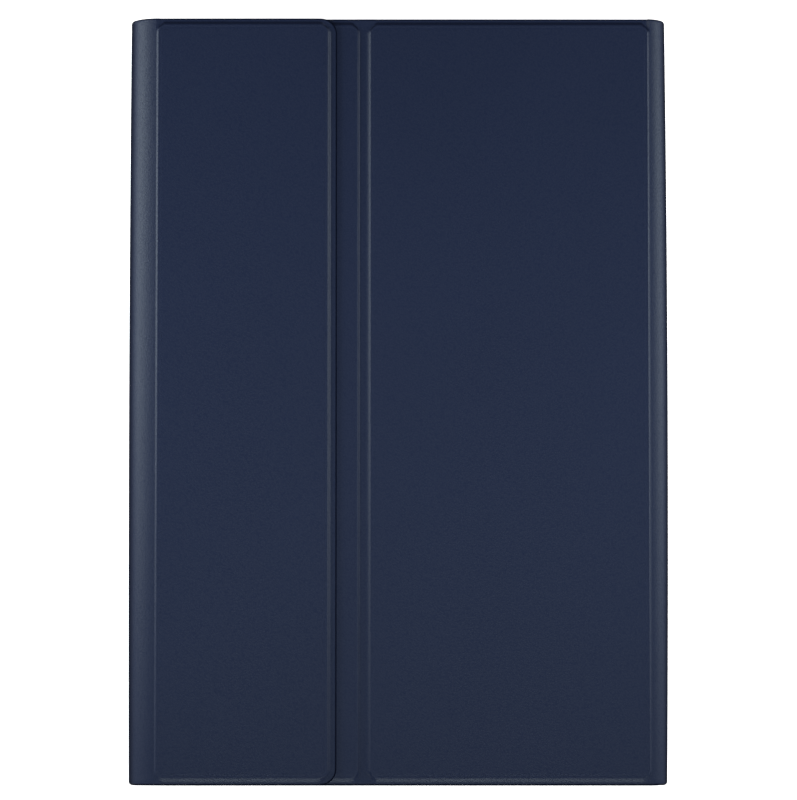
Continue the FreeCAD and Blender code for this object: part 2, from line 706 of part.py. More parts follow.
# Each key or group of like keys: its row's middle, its depth, where it starts, its width and how many
KEYS = {
    "escape_key": ("place.function_line", FUNCTION_DEPTH, 0, 1, 1),
    "function_keys": ("place.function_line", FUNCTION_DEPTH, 1, 1, 12),
    "number_keys": (key_line(0), FULL_DEPTH, 0, 1, 13),
    "backspace_key": (key_line(0), FULL_DEPTH, 13, 1.25, 1),
    "tab_key": (key_line(1), FULL_DEPTH, 0, 1.25, 1),
    "upper_letter_keys": (key_line(1), FULL_DEPTH, 1.25, 1, 13),
    "caps_lock_key": (key_line(2), FULL_DEPTH, 0, 1.5, 1),
    "home_letter_keys": (key_line(2), FULL_DEPTH, 1.5, 1, 11),
    "enter_key": (key_line(2), FULL_DEPTH, 12.5, 1.75, 1),
    "left_shift_key": (key_line(3), FULL_DEPTH, 0, 2, 1),
    "lower_letter_keys": (key_line(3), FULL_DEPTH, 2, 1, 10),
    "right_shift_key": (key_line(3), FULL_DEPTH, 12, 2.25, 1),
    "left_modifier_keys": (key_line(4), FULL_DEPTH, 0, 1, 4),
    "space_bar": (key_line(4), FULL_DEPTH, 4, 5.25, 1),
    "right_modifier_keys": (key_line(4), FULL_DEPTH, 9.25, 1, 2),
    "left_arrow_key": (key_line(4), FULL_DEPTH, 11.25, 1, 1),
    "up_arrow_key": (half_key_line(4, True), HALF_DEPTH, 12.25, 1, 1),
    "down_arrow_key": (half_key_line(4, False), HALF_DEPTH, 12.25, 1, 1),
    "right_arrow_key": (key_line(4), FULL_DEPTH, 13.25, 1, 1),
}


def key_middle(start, width):
    """Place along the row of the middle of a key, from its start and width in key pitches."""
    return f"-place.key_field_half + {start + width / 2} * place.key_pitch"


def make_keys():
    radius = "dims.key_corner_radius"
    for node, (line, depth, start, width, count) in KEYS.items():
        keys = Piece(node, is_group=True)
        box = around(line, key_middle(start, width), depth, f"{width} * place.key_pitch - dims.key_spacing")
        cap = keys.pad(box, "place.key_bottom", "place.key_top", left_radius=radius, right_radius=radius)
        cap.setExpression("TaperAngle", "-dims.key_taper")
        keys.row(cap, "place.key_pitch", count)


def make_top_frame():
    """Plate with a window for every key, and holes for the pairing button and the indicator lenses."""
    plate = Piece("frame_plate")
    body = whole("place.rail_front", "place.keyboard_front", "place.keyboard_half")
    plate.pad(body, "place.frame_bottom", "place.frame_top", right_radius="dims.keyboard_corner_radius")
    add_screw_bosses(plate, *SCREW_LINES[0])
    openings = Piece("frame_openings", is_group=True)
    low = "place.frame_bottom"
    high = "place.frame_top"
    room = "2 * dims.window_clearance"
    for line, depth, start, width, count in KEYS.values():
        length = f"{width} * place.key_pitch - dims.key_spacing + {room}"
        box = around(line, key_middle(start, width), f"{depth} + {room}", length)
        openings.row(openings.pad(box, low, high), "place.key_pitch", count)
    openings.post("place.function_line", "place.button_line", f"dims.button_diameter + {room}", low, high)
    lens_hole = "dims.lens_diameter + 2 * dims.lens_clearance"
    lens = openings.post("place.function_line", "place.lens_line", lens_hole, low, high)
    openings.row(lens, "dims.lens_spacing", LENSES)
    cut_apart("keyboard_top_frame", plate, openings)


def make_key_support():
    """Steel plate, membrane circuit and a rubber dome under every key."""
    margin = "dims.plate_margin"
    box = whole("place.rail_front", f"place.keyboard_front - {margin}", "place.bay_half")
    plate = Piece("key_support_plate")
    plate.pad(box, "place.floor_top", "place.plate_top")
    membrane = Piece("membrane_circuit")
    membrane.pad(box, "place.plate_top", "place.membrane_top")
    domes = Piece("rubber_domes", is_group=True)
    for line, depth, start, width, count in KEYS.values():
        dome = domes.post(line, key_middle(start, width), "dims.dome_diameter", "place.membrane_top",
                          "place.key_bottom")
        dome.setExpression("TaperAngle", "-dims.dome_taper")
        domes.row(dome, "place.key_pitch", count)


def make_bumpers():
    """Rubber studs on the front of the frame that keep the tablet's screen off the keys."""
    bumpers = Piece("keyboard_bumpers")
    spacing = "place.bumper_spacing"
    line = "place.keyboard_front - dims.frame_front_margin / 2"
    first = first_of(BUMPERS, spacing)
    stud = bumpers.post(line, first, "dims.bumper_diameter", "place.frame_top", "place.bumper_top")
    bumpers.row(stud, spacing, BUMPERS)


# Electronics in the bay under the rest


def make_battery():
    battery = Piece("battery_cell")
    box = ("place.bay_rear", "place.bay_front", "-place.bay_half", "-place.rear_boss_end")
    radius = "dims.key_corner_radius"
    battery.pad(box, "place.floor_top", "place.floor_top + dims.battery_height",
                left_radius=radius, right_radius=radius)


def make_circuit_board():
    board = Piece("keyboard_circuit_board")
    box = ("place.bay_rear", "place.bay_front", "place.rear_boss_end",
           "place.socket_inner - dims.socket_clearance")
    board.pad(box, "place.circuit_bottom", "place.circuit_top")


def make_charging_socket():
    """Metal shell with a tongue inside, open to the side of the keyboard."""
    socket = Piece("charging_socket")
    wall = "dims.socket_wall"
    shell = ("place.socket_rear", "place.socket_front", "place.socket_inner", "place.keyboard_half")
    socket.pad(shell, "place.socket_bottom", "place.socket_top")
    mouth = (f"place.socket_rear + {wall}", f"place.socket_front - {wall}",
             "place.socket_inner + dims.socket_inset", f"place.keyboard_half + {OVERSHOOT}")
    socket.cut(mouth, f"place.socket_bottom + {wall}", f"place.socket_top - {wall}")
    middle = "(place.socket_bottom + place.socket_top) / 2"
    tongue = ("place.socket_rear + dims.socket_inset", "place.socket_front - dims.socket_inset",
              f"place.socket_inner + {wall}", "place.keyboard_half - dims.socket_inset")
    socket.pad(tongue, f"{middle} - dims.socket_tongue / 2", f"{middle} + dims.socket_tongue / 2")


def make_power_switch():
    """Switch body on the circuit board's edge and the knob that slides in the side of the keyboard."""
    switch = Piece("power_switch_body")
    body = ("place.switch_rear", "place.bay_front", "place.switch_inner", "place.switch_outer")
    switch.pad(body, "place.circuit_top", "place.switch_top")
    room = "dims.knob_clearance"
    slot = (f"place.knob_rear - {room}", f"place.knob_front + dims.knob_travel + {room}",
            "place.switch_outer - dims.knob_depth + dims.case_wall", f"place.switch_outer + {OVERSHOOT}")
    switch.cut(slot, f"place.knob_bottom - {room} / 2", f"place.knob_top + {room} / 2")
    knob = Piece("power_switch_knob")
    stem = ("place.knob_rear", "place.knob_front", "place.knob_outer - dims.knob_depth", "place.knob_outer")
    knob.pad(stem, "place.knob_bottom", "place.knob_top")


def make_pair_button():
    button = Piece("pair_button")
    low = "place.button_top - dims.button_height"
    button.post("place.function_line", "place.button_line", "dims.button_diameter", low, "place.button_top")


def make_lenses():
    lenses = Piece("indicator_lenses")
    lens = lenses.post("place.function_line", "place.lens_line", "dims.lens_diameter", "place.frame_bottom",
                       "place.frame_top")
    lenses.row(lens, "dims.lens_spacing", LENSES)


# Tablet holder on the upper stand panel


def make_tablet_holder():
    """Stiff back sheet on the upper stand panel, behind the tablet."""
    holder = Piece("tablet_holder")
    sheet = whole("place.holder_left", "place.holder_right", "place.holder_half")
    holder.pad(sheet, "place.back_bottom", "place.stand_bottom", right_radius="dims.holder_corner_radius")


def make_grip_bars():
    """Bars along three sides of the tablet, each with a lip that keeps it in. The corners are left open."""
    bars = Piece("holder_grip_bars", is_group=True)
    gap = "dims.grip_corner_gap"
    long_half = f"place.holder_half - {gap}"
    short_end = f"place.holder_right - {gap}"
    sides = [
        whole("place.holder_inner_right", "place.holder_right", long_half),
        ("place.holder_grip_left", short_end, "place.holder_inner_half", "place.holder_half"),
        ("place.holder_grip_left", short_end, "-place.holder_half", "-place.holder_inner_half"),
    ]
    lips = [
        whole("place.lip_right", "place.holder_inner_right", long_half),
        ("place.holder_grip_left", short_end, "place.lip_half", "place.holder_inner_half"),
        ("place.holder_grip_left", short_end, "-place.holder_inner_half", "-place.lip_half"),
    ]
    for side, lip in zip(sides, lips):
        bars.pad(side, "place.lip_bottom", "place.back_bottom")
        bars.pad(lip, "place.lip_bottom", "place.lip_top")


def make_holder_pads():
    """Soft strips on the holder's back that the tablet rests against."""
    pads = Piece("holder_pads")
    margin = "dims.pad_margin"
    left = f"place.holder_grip_left + {margin}"
    right = f"place.holder_inner_right - {margin}"
    first = f"-place.holder_inner_half + {margin}"
    strip = (left, right, first, f"{first} + dims.pad_width")
    pad = pads.pad(strip, "place.pad_bottom", "place.back_bottom")
    spacing = f"2 * (place.holder_inner_half - {margin} - dims.pad_width / 2) / {HOLDER_PADS - 1}"
    pads.row(pad, spacing, HOLDER_PADS)


make_deck()
make_bottom_case()
make_screws()
make_rest_rail()
make_top_frame()
make_key_support()
make_keys()
make_bumpers()
make_battery()
make_circuit_board()
make_charging_socket()
make_power_switch()
make_pair_button()
make_lenses()
make_spine()
make_flap()
make_lower_stand()
make_upper_stand()
make_tablet_holder()
make_grip_bars()
make_holder_pads()
doc.recompute()

# Nothing is written unless every object is sound
for item in doc.Objects:
    if "Invalid" in item.State or "Error" in item.State:
        raise RuntimeError(f"{item.Label} could not be built: {item.State}")
for node in nodes:
    if node.Shape.isNull() or not node.Shape.isValid() or not node.Shape.Solids:
        raise RuntimeError(f"{node.Label} has no valid solid")

os.makedirs("parts", exist_ok=True)
for node in nodes:
    node.Shape.exportStep(f"parts/{node.Label}.step")
    print(node.Label, len(node.Shape.Solids), round(node.Shape.Volume, 2))
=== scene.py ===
# %% [markdown]
# # A tablet keyboard case
# The object is a closed folio in dark blue coated leather. Three raised boards show on its face:
# a narrow flap beside the round spine, a strip of the panel under the flap, and a wide panel.
# Inside are a thin wireless keyboard and a holder for a tablet.
# The pieces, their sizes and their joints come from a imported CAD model, the frame. This script
# leaves all of that alone and gives each piece the shape and finish that the eye expects.

# %% Load the frame
import json
import math

import bmesh
import bpy
import numpy as np
from mathutils import Matrix, Vector


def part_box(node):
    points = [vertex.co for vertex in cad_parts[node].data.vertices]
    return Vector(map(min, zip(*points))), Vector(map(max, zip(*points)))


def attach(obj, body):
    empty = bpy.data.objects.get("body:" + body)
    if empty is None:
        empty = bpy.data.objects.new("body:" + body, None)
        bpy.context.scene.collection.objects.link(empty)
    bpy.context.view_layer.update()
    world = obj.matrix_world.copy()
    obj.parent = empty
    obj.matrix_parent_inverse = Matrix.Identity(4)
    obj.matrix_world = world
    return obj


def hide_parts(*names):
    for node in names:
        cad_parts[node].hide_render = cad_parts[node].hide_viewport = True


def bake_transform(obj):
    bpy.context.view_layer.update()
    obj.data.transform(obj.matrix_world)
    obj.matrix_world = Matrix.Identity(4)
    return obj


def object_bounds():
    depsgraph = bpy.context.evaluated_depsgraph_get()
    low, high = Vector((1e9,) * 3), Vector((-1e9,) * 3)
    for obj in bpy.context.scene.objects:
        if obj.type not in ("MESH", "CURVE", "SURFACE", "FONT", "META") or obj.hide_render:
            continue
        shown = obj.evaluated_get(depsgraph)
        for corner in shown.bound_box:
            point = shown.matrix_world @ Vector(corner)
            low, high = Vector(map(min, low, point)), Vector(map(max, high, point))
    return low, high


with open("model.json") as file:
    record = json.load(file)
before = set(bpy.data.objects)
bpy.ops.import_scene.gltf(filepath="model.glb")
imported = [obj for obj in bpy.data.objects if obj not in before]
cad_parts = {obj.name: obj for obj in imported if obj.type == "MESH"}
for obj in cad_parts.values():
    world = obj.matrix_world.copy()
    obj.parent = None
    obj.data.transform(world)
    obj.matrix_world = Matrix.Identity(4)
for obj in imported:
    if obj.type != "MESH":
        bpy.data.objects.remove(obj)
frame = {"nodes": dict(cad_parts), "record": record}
cad_low, cad_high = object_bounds()
MM = 0.001
nodes = frame["nodes"]
slot_of = {part["node"]: part["material_slot"] for part in frame["record"]["subparts"]}
body_of = {}
for body, members in frame["record"]["behaviour"]["bodies"].items():
    for node in members:
        body_of[node] = body

# %% [markdown]
# ## Camera
# The case was photographed from straight above, with the spine at the left. The far end looks
# about one percent narrower than the near end, so the camera leaned a little: from less than two
# metres away that is a tilt of under five degrees. A long lens keeps the sides upright.
# The lens follows from how many millimetres one pixel covers at the height of the widest outline.

# %% Place the camera
PICTURE_WIDTH = 797
PICTURE_HEIGHT = 800
CASE_MIDDLE = (398.4, 402.0)
MM_PER_PIXEL = 0.3374
CAMERA_DISTANCE = 1.75
CAMERA_TILT = math.radians(4.6)
SENSOR_WIDTH = 36.0


def add_object(name, data):
    """A new object that is part of the scene."""
    made = bpy.data.objects.new(name, data)
    bpy.context.scene.collection.objects.link(made)
    return made


pixel = MM_PER_PIXEL * MM
picture_middle = Vector((
    (PICTURE_WIDTH / 2 - CASE_MIDDLE[0]) * pixel,
    (CASE_MIDDLE[1] - PICTURE_HEIGHT / 2) * pixel,
    (cad_low.z + cad_high.z) / 2,
))
towards_camera = Vector((0, -math.sin(CAMERA_TILT), math.cos(CAMERA_TILT)))
camera = add_object("camera", bpy.data.cameras.new("camera"))
camera.data.sensor_width = SENSOR_WIDTH
camera.data.lens = SENSOR_WIDTH * CAMERA_DISTANCE / (PICTURE_HEIGHT * pixel)
camera.data.clip_start = CAMERA_DISTANCE / 10
camera.location = picture_middle + towards_camera * CAMERA_DISTANCE
camera.rotation_mode = "QUATERNION"
camera.rotation_quaternion = (-towards_camera).to_track_quat("-Z", "Y")
bpy.context.scene.camera = camera
print(f"lens {camera.data.lens:.1f} mm at {CAMERA_DISTANCE} m")

# %% [markdown]
# ## Shader maths
# A finish is a small sum: a colour that drifts, a roughness that follows wear, a height for the grain.
# Wiring such sums by hand hides them among node calls, so one small class stands for a socket.
# Adding or multiplying two of them adds a Math node, and one method adds any other node.

# %% A socket that can be added and multiplied


class Wire:
    """One output socket of a material. Arithmetic on it adds Math nodes to the same material."""

    def __init__(self, tree, socket):
        self.tree = tree
        self.socket = socket

    def node(self, kind, settings, inputs, output=0):
        """Add a node: its settings first, then the numbers and links of its sockets."""
        made = self.tree.nodes.new(kind)
        for name, setting in settings.items():
            if name == "stops":
                fill_ramp(made.color_ramp, setting)
            else:
                setattr(made, name, setting)
        for name, given in inputs.items():
            if isinstance(given, Wire):
                self.tree.links.new(given.socket, made.inputs[name])
            else:
                made.inputs[name].default_value = given
        return Wire(self.tree, made.outputs[output]) if made.outputs else None

    def math(self, operation, first, second):
        """Add a Math node that works on two numbers or wires."""
        return self.node("ShaderNodeMath", {"operation": operation}, {0: first, 1: second})

    def __add__(self, other):
        return self.math("ADD", self, other)

    def __radd__(self, other):
        return self.math("ADD", other, self)

    def __sub__(self, other):
        return self.math("SUBTRACT", self, other)

    def __rsub__(self, other):
        return self.math("SUBTRACT", other, self)

    def __mul__(self, other):
        return self.math("MULTIPLY", self, other)

    def __rmul__(self, other):
        return self.math("MULTIPLY", other, self)


def fill_ramp(ramp, stops):
    """Give a colour ramp its two stops, as pairs of place and grey value."""
    for element, (place, grey) in zip(ramp.elements, stops):
        element.position = place
        element.color = (grey, grey, grey, 1)


print("shader maths ready")

# %% [markdown]
# ## Parts of a finish
# Every finish here is built from the same few things: the place on the piece in metres, noise of a
# chosen size, a colour between two others, and one Principled shader that closes the material.
# Taking the place from the object's own coordinates keeps the grain at its true scale, and pieces
# that meet at a seam share one grain, because they all sit at the frame's origin.

# %% Helpers that start, vary and close a finish
MIX_FACTOR, MIX_FIRST, MIX_SECOND, MIX_RESULT = 0, 6, 7, 2
CELL_SMOOTHNESS = 0.6


def begin(name):
    """A new material and the wire that gives the place on the piece."""
    material = bpy.data.materials.new(name)
    material.use_nodes = True
    tree = material.node_tree
    tree.nodes.clear()
    coordinates = tree.nodes.new("ShaderNodeTexCoord")
    return material, Wire(tree, coordinates.outputs["Object"])


def noise(place, size, detail=2.0):
    """Soft noise whose blots are about one size across, in metres."""
    inputs = {"Vector": place, "Scale": 1 / size, "Detail": detail}
    return place.node("ShaderNodeTexNoise", {}, inputs, "Fac")


def cells(place, size):
    """Rounded cells about one size across: 0 at each middle, rising to the edges."""
    settings = {"feature": "SMOOTH_F1"}
    inputs = {"Vector": place, "Scale": 1 / size, "Smoothness": CELL_SMOOTHNESS}
    return place.node("ShaderNodeTexVoronoi", settings, inputs, "Distance")


def stretched(place, scale):
    """The place with its axes scaled, for brushed or woven patterns."""
    return place.node("ShaderNodeVectorMath", {"operation": "MULTIPLY"}, {0: place, 1: scale})


def ramp(value, *stops):
    """A value read off a slope that is given as two pairs of place and height."""
    return value.node("ShaderNodeValToRGB", {"stops": stops}, {"Fac": value}, "Color")


def between(mask, first, second):
    """A colour that goes from first to second as the mask goes from 0 to 1."""
    first, second = (given if isinstance(given, Wire) else (*given, 1) for given in (first, second))
    colours = {MIX_FACTOR: mask, MIX_FIRST: first, MIX_SECOND: second}
    return mask.node("ShaderNodeMix", {"data_type": "RGBA"}, colours, MIX_RESULT)


def surface(place, colour, roughness, height, depth, **constants):
    """A Principled shader with a bump of the given depth in metres."""
    bump = place.node("ShaderNodeBump", {}, {"Height": height, "Strength": 1.0, "Distance": depth})
    inputs = {"Base Color": colour, "Roughness": roughness, "Normal": bump}
    for name, value in constants.items():
        inputs[name.replace("_", " ")] = value
    return place.node("ShaderNodeBsdfPrincipled", {}, inputs)


def complete(shader):
    """Close a material with its shader."""
    shader.node("ShaderNodeOutputMaterial", {}, {"Surface": shader})


print("finish helpers ready")

# %% [markdown]
# ## Coated leather
# The cover is cloth with a thin coloured coat that is embossed with a very fine grain. It is dark
# navy, nearly matt, and catches light only where it bends. The grain is rounded cells of about half
# a millimetre with a little noise. Only the tops of the cells shine, so the glossy coat is mixed with
# a matt one by the grain, and what the coat mirrors is tinted a little blue. The mesh carries two values
# of its own. Rub is high on the edges of the boards, where hands polish the coat, and lightens the colour
# there: partly wear, partly a painted highlight on the steps that face the near end. Hem is high at a
# free edge, which is painted dark and matt: partly edge paint, partly painted shade. It is fairly high
# on upright sides and on steps that face the far end, which are dull and darkened as painted shade.

# %% Leather finish
NAVY = (0.0041, 0.0086, 0.0292)
NAVY_FADED = (0.0056, 0.0107, 0.0345)
# Lighter navy on board edges: partly wear, partly a painted highlight.
NAVY_RUBBED_AND_SHEEN = (0.0088, 0.0143, 0.0372)
COAT_TINT = (0.84, 0.97, 1.0, 1)
GRAIN_SIZE = 0.55 * MM
GRAIN_DEPTH = 0.05 * MM
SPECK_SIZE = 0.30 * MM
THREAD_SIZE = 1.0 * MM
THREAD_STRETCH = (1.0, 0.4, 1.0)
RUB_SIZE = 6 * MM
DRIFT_SIZE = 45 * MM
COAT_ROUGHNESS = 0.43
MATT_ROUGHNESS = 0.75
MATT_SHARE = 0.40
# Near black for free edges, upright sides and far-facing steps: edge paint at the edges, painted shade on
# all three.
EDGE_PAINT_AND_SHADE = (0.0016, 0.0022, 0.0056)
EDGE_PAINT_AND_SHADE_WORN = (0.0040, 0.0056, 0.0130)


def cover_leather():
    """Coated leather: wear and a painted highlight on board edges, edge paint at hems, painted shade at
    hems, sides and far steps.
    """
    material, place = begin("cover_leather")
    grain = cells(place, GRAIN_SIZE)
    fine = noise(place, SPECK_SIZE)
    thread = noise(stretched(place, THREAD_STRETCH), THREAD_SIZE)
    drift = noise(place, DRIFT_SIZE)
    # The rub value lightens the colour on board edges: partly wear, partly a painted highlight on steps
    # that face the near end.
    rub = place.node("ShaderNodeAttribute", {"attribute_name": "rub"}, {}, "Fac")
    # The hem value darkens the colour: edge paint at free edges, and painted shade there, on upright sides
    # and on steps that face the far end.
    hem = place.node("ShaderNodeAttribute", {"attribute_name": "hem"}, {}, "Fac")
    wear_and_sheen = rub * (0.4 + 0.6 * noise(place, RUB_SIZE))
    colour = between(wear_and_sheen, between(0.65 * drift + 0.35 * thread, NAVY, NAVY_FADED), NAVY_RUBBED_AND_SHEEN)
    height = 0.6 * grain + 0.4 * fine
    roughness = COAT_ROUGHNESS + 0.10 * fine - 0.05 * wear_and_sheen
    coat = surface(place, colour, roughness, height, GRAIN_DEPTH, Specular_Tint=COAT_TINT)
    painted = between(hem, colour, between(fine, EDGE_PAINT_AND_SHADE, EDGE_PAINT_AND_SHADE_WORN))
    matt = surface(place, painted, MATT_ROUGHNESS + 0.2 * fine, height, GRAIN_DEPTH, IOR=1.0)
    dull = hem + (1 - hem) * (MATT_SHARE + 0.25 * grain)
    complete(dull.node("ShaderNodeMixShader", {}, {0: dull, 1: coat, 2: matt}))
    return material


print("leather finish ready")

# %% [markdown]
# ## Lining, pads and boards
# The inside is a brushed microfibre: a soft nap of short hairs with no gloss and a little sheen.
# The tablet rests on thin felt. The boards between skin and lining are pressed fibre, seldom seen.
# All three are matt and uneven, so each is noise at two sizes with its own colours.

# %% Cloth and board finishes
NAP_STRETCH = (1.0, 0.35, 1.0)
NAP_DEPTH = 0.05 * MM
CLOUD_SIZE = 14 * MM
FIBRE_STRETCH = (0.3, 1.0, 1.0)
FIBRE_SIZE = 0.8 * MM
FIBRE_DEPTH = 0.04 * MM
FIBRE_DARK = (0.17, 0.14, 0.11)
FIBRE_LIGHT = (0.34, 0.30, 0.25)


def brushed_cloth(name, dark, light, hair):
    """A napped cloth whose hairs are about one size long."""
    material, place = begin(name)
    nap = noise(stretched(place, NAP_STRETCH), hair, detail=4.0)
    cloud = noise(place, CLOUD_SIZE)
    colour = between(0.65 * nap + 0.35 * cloud, dark, light)
    dull = {"Specular_IOR_Level": 0.15, "Sheen_Weight": 0.25}
    complete(surface(place, colour, 0.86 + 0.1 * nap, nap, NAP_DEPTH, **dull))
    return material


def fibre_board():
    """Pressed fibre whose threads lie mostly one way."""
    material, place = begin("stiff_board")
    fibre = noise(stretched(place, FIBRE_STRETCH), FIBRE_SIZE, detail=5.0)
    colour = between(fibre, FIBRE_DARK, FIBRE_LIGHT)
    complete(surface(place, colour, 0.8 + 0.15 * fibre, fibre, FIBRE_DEPTH))
    return material


print("cloth and board finishes ready")

# %% [markdown]
# ## Plastics and rubber
# The keyboard shell, its keys and the tablet holder are moulded plastic with a fine spark texture
# from the mould. Keys are worn smoother in places, so their roughness drifts. The rubber studs
# and the grip strip are softer and duller, with dust in the surface.

# %% Moulded finishes
FLOW_STRETCH = (0.4, 1.0, 1.0)
FLOW_SIZE = 22 * MM
LENS_CLOUD = 0.5 * MM
LENS_DEPTH = 0.005 * MM
LENS_DARK = (0.42, 0.45, 0.46)
LENS_LIGHT = (0.62, 0.64, 0.63)


def moulded(name, dark, light, grain_size, rough, depth):
    """Moulded plastic or rubber: a spark texture and faint flow marks."""
    material, place = begin(name)
    spark = noise(place, grain_size, detail=3.0)
    flow = noise(stretched(place, FLOW_STRETCH), FLOW_SIZE)
    colour = between(0.5 * spark + 0.5 * flow, dark, light)
    roughness = rough + 0.14 * (flow - 0.5) + 0.10 * (spark - 0.5)
    complete(surface(place, colour, roughness, spark, depth, Specular_IOR_Level=0.3))
    return material


def lens_plastic():
    """Milky plastic over the indicator lights, which are off."""
    material, place = begin("lens_plastic")
    cloud = noise(place, LENS_CLOUD)
    colour = between(cloud, LENS_DARK, LENS_LIGHT)
    complete(surface(place, colour, 0.22 + 0.1 * cloud, cloud, LENS_DEPTH))
    return material


print("moulded finishes ready")

# %% [markdown]
# ## Metals, film, laminate and foil
# These sit inside the keyboard and in its side: steel plate and screws, nickel on the magnets, the
# printed film under the keys, the green circuit laminate and the pouch of the battery. Brushed and
# rolled metals show scratches in one direction, which is noise stretched along that direction.

# %% Metal and sheet finishes
SCRATCH_SIZE = 0.25 * MM
SCRATCH_DEPTH = 0.006 * MM
STAIN_SIZE = 9 * MM
HAZE_SIZE = 5 * MM
TRACK_DEPTH = 0.01 * MM
TRACK_SIDE = ((0.62, 0.0), (0.72, 1.0))
# Lines of a wave texture at scale 1 are about this many metres apart.
WAVE_GAP = 0.3


def rolled_metal(name, dark, light, stretch, rough):
    """Metal with fine marks along one direction."""
    material, place = begin(name)
    scratch = noise(stretched(place, stretch), SCRATCH_SIZE, detail=4.0)
    stain = noise(place, STAIN_SIZE)
    colour = between(0.5 * scratch + 0.5 * stain, dark, light)
    roughness = rough + 0.16 * (scratch - 0.5) + 0.1 * (stain - 0.5)
    complete(surface(place, colour, roughness, scratch, SCRATCH_DEPTH, Metallic=1.0))
    return material


def printed_sheet(name, ground, track, line_gap):
    """A sheet with faint printed lines: key film or circuit laminate."""
    material, place = begin(name)
    settings = {"wave_type": "BANDS", "bands_direction": "Y"}
    inputs = {"Vector": place, "Scale": WAVE_GAP / line_gap, "Distortion": 2.5, "Detail": 2.0}
    lines = ramp(place.node("ShaderNodeTexWave", settings, inputs, "Fac"), *TRACK_SIDE)
    haze = noise(place, HAZE_SIZE)
    colour = between(0.75 * lines + 0.15 * haze, ground, track)
    complete(surface(place, colour, 0.35 + 0.2 * haze, lines, TRACK_DEPTH))
    return material


print("metal and sheet finishes ready")

# %% [markdown]
# ## The list of finishes
# The record names a slot for every piece, such as cover_leather or key_plastic. One dictionary from
# slot to material means that a piece finds its finish by its slot, whether it is a CAD node that is
# shown as it is or a new mesh that stands for one.

# %% Make every finish once
FINISHES = {
    "cover_leather": cover_leather(),
    "lining_cloth": brushed_cloth("lining_cloth", (0.016, 0.018, 0.024), (0.046, 0.050, 0.062), 0.5 * MM),
    "pad_cloth": brushed_cloth("pad_cloth", (0.020, 0.021, 0.024), (0.062, 0.064, 0.070), 0.7 * MM),
    "stiff_board": fibre_board(),
    "keyboard_plastic": moulded("keyboard_plastic", (0.012, 0.013, 0.015), (0.021, 0.022, 0.025),
                                0.22 * MM, 0.56, 0.020 * MM),
    "key_plastic": moulded("key_plastic", (0.014, 0.015, 0.017), (0.026, 0.027, 0.030),
                           0.18 * MM, 0.58, 0.014 * MM),
    "holder_plastic": moulded("holder_plastic", (0.013, 0.014, 0.016), (0.023, 0.024, 0.027),
                              0.30 * MM, 0.55, 0.020 * MM),
    "soft_rubber": moulded("soft_rubber", (0.018, 0.018, 0.019), (0.040, 0.040, 0.042),
                           0.40 * MM, 0.78, 0.030 * MM),
    "magnet_metal": rolled_metal("magnet_metal", (0.50, 0.48, 0.45), (0.70, 0.68, 0.64), (1, 1, 0.2), 0.28),
    "plain_steel": rolled_metal("plain_steel", (0.42, 0.43, 0.44), (0.60, 0.61, 0.62), (1, 0.08, 1), 0.36),
    "film_plastic": printed_sheet("film_plastic", (0.30, 0.33, 0.33), (0.60, 0.62, 0.62), 1.5 * MM),
    "circuit_laminate": printed_sheet("circuit_laminate", (0.010, 0.070, 0.035), (0.05, 0.16, 0.09),
                                      1.0 * MM),
    "cell_foil": rolled_metal("cell_foil", (0.55, 0.56, 0.58), (0.72, 0.73, 0.75), (0.15, 1, 1), 0.42),
    "lens_plastic": lens_plastic(),
}
PRINT = moulded("legend_print", (0.42, 0.44, 0.46), (0.56, 0.58, 0.60), 0.15 * MM, 0.60, 0.004 * MM)
for node, piece in nodes.items():
    piece.data.materials.clear()
    piece.data.materials.append(FINISHES[slot_of[node]])
print(f"{len(FINISHES)} finishes")

# %% [markdown]
# ## A pressed sheet
# The cover is one sheet of leather pressed over boards: flat fields with soft edges, thin rims with
# rounded hems, and round folds. A subdivided cube would puff the edges, and a bevel would cut them.
# So a sheet is a grid over a section, which is a line across the case with an outward direction at
# each point, swept along the spine. A formula lifts the grid over the boards and drops it at hems.
# The grid is close where the formula bends and wide where the sheet is flat.

# %% Sizes and helpers of a sheet
HEM_RADIUS = 0.45 * MM
HEM_POINTS = 5
PAINT_FADES = (0.2 * MM, 0.7 * MM)
# Upright sides and steps that face the far end are darkened as painted shade and dulled; these set where
# and how much.
SIDE_STARTS = (0.55, 0.88)
SIDE_SHADE_AND_DULL = 0.88
FAR_STARTS = (0.25, 0.60)
FAR_SHADE_AND_DULL = 0.65
SPINE_DRAWN = 0.4 * MM
FREE_DRAWN = 0.7 * MM
DRAWN_REACH = 8.0 * MM
COVER_CORNER = 1.3 * MM
EDGE_BAND = 6.0 * MM
EDGE_STEP = 0.22 * MM
WIDE_STEP = 9.0 * MM
ROLL_POINTS = 25
NO_EDGE = 1.0
SMALLEST = 1e-7
NEAREST = 0.02 * MM
SMOOTH_ANGLE = math.radians(40)


def ease(value, low, high):
    """0 below low, 1 above high and a smooth rise between."""
    share = np.clip((value - low) / (high - low), 0, 1)
    return share * share * (3 - 2 * share)


def spread(length, bends=()):
    """Places from 0 to a length: closest at both ends, close near each bend, wide between."""
    hem = HEM_RADIUS * (1 - np.cos(np.linspace(0, math.pi / 2, HEM_POINTS)))
    close = np.arange(HEM_RADIUS, EDGE_BAND, EDGE_STEP)
    wide = np.linspace(0, length, max(2, round(length / WIDE_STEP)))
    sets = [wide, hem, close, length - hem, length - close]
    for bend in bends:
        sets += [bend - close, bend + close]
    places = np.unique(np.concatenate(sets))
    places = places[(places > -SMALLEST) & (places < length - SMALLEST)]
    kept = np.diff(places, prepend=-length) > NEAREST
    return np.append(places[kept], length)


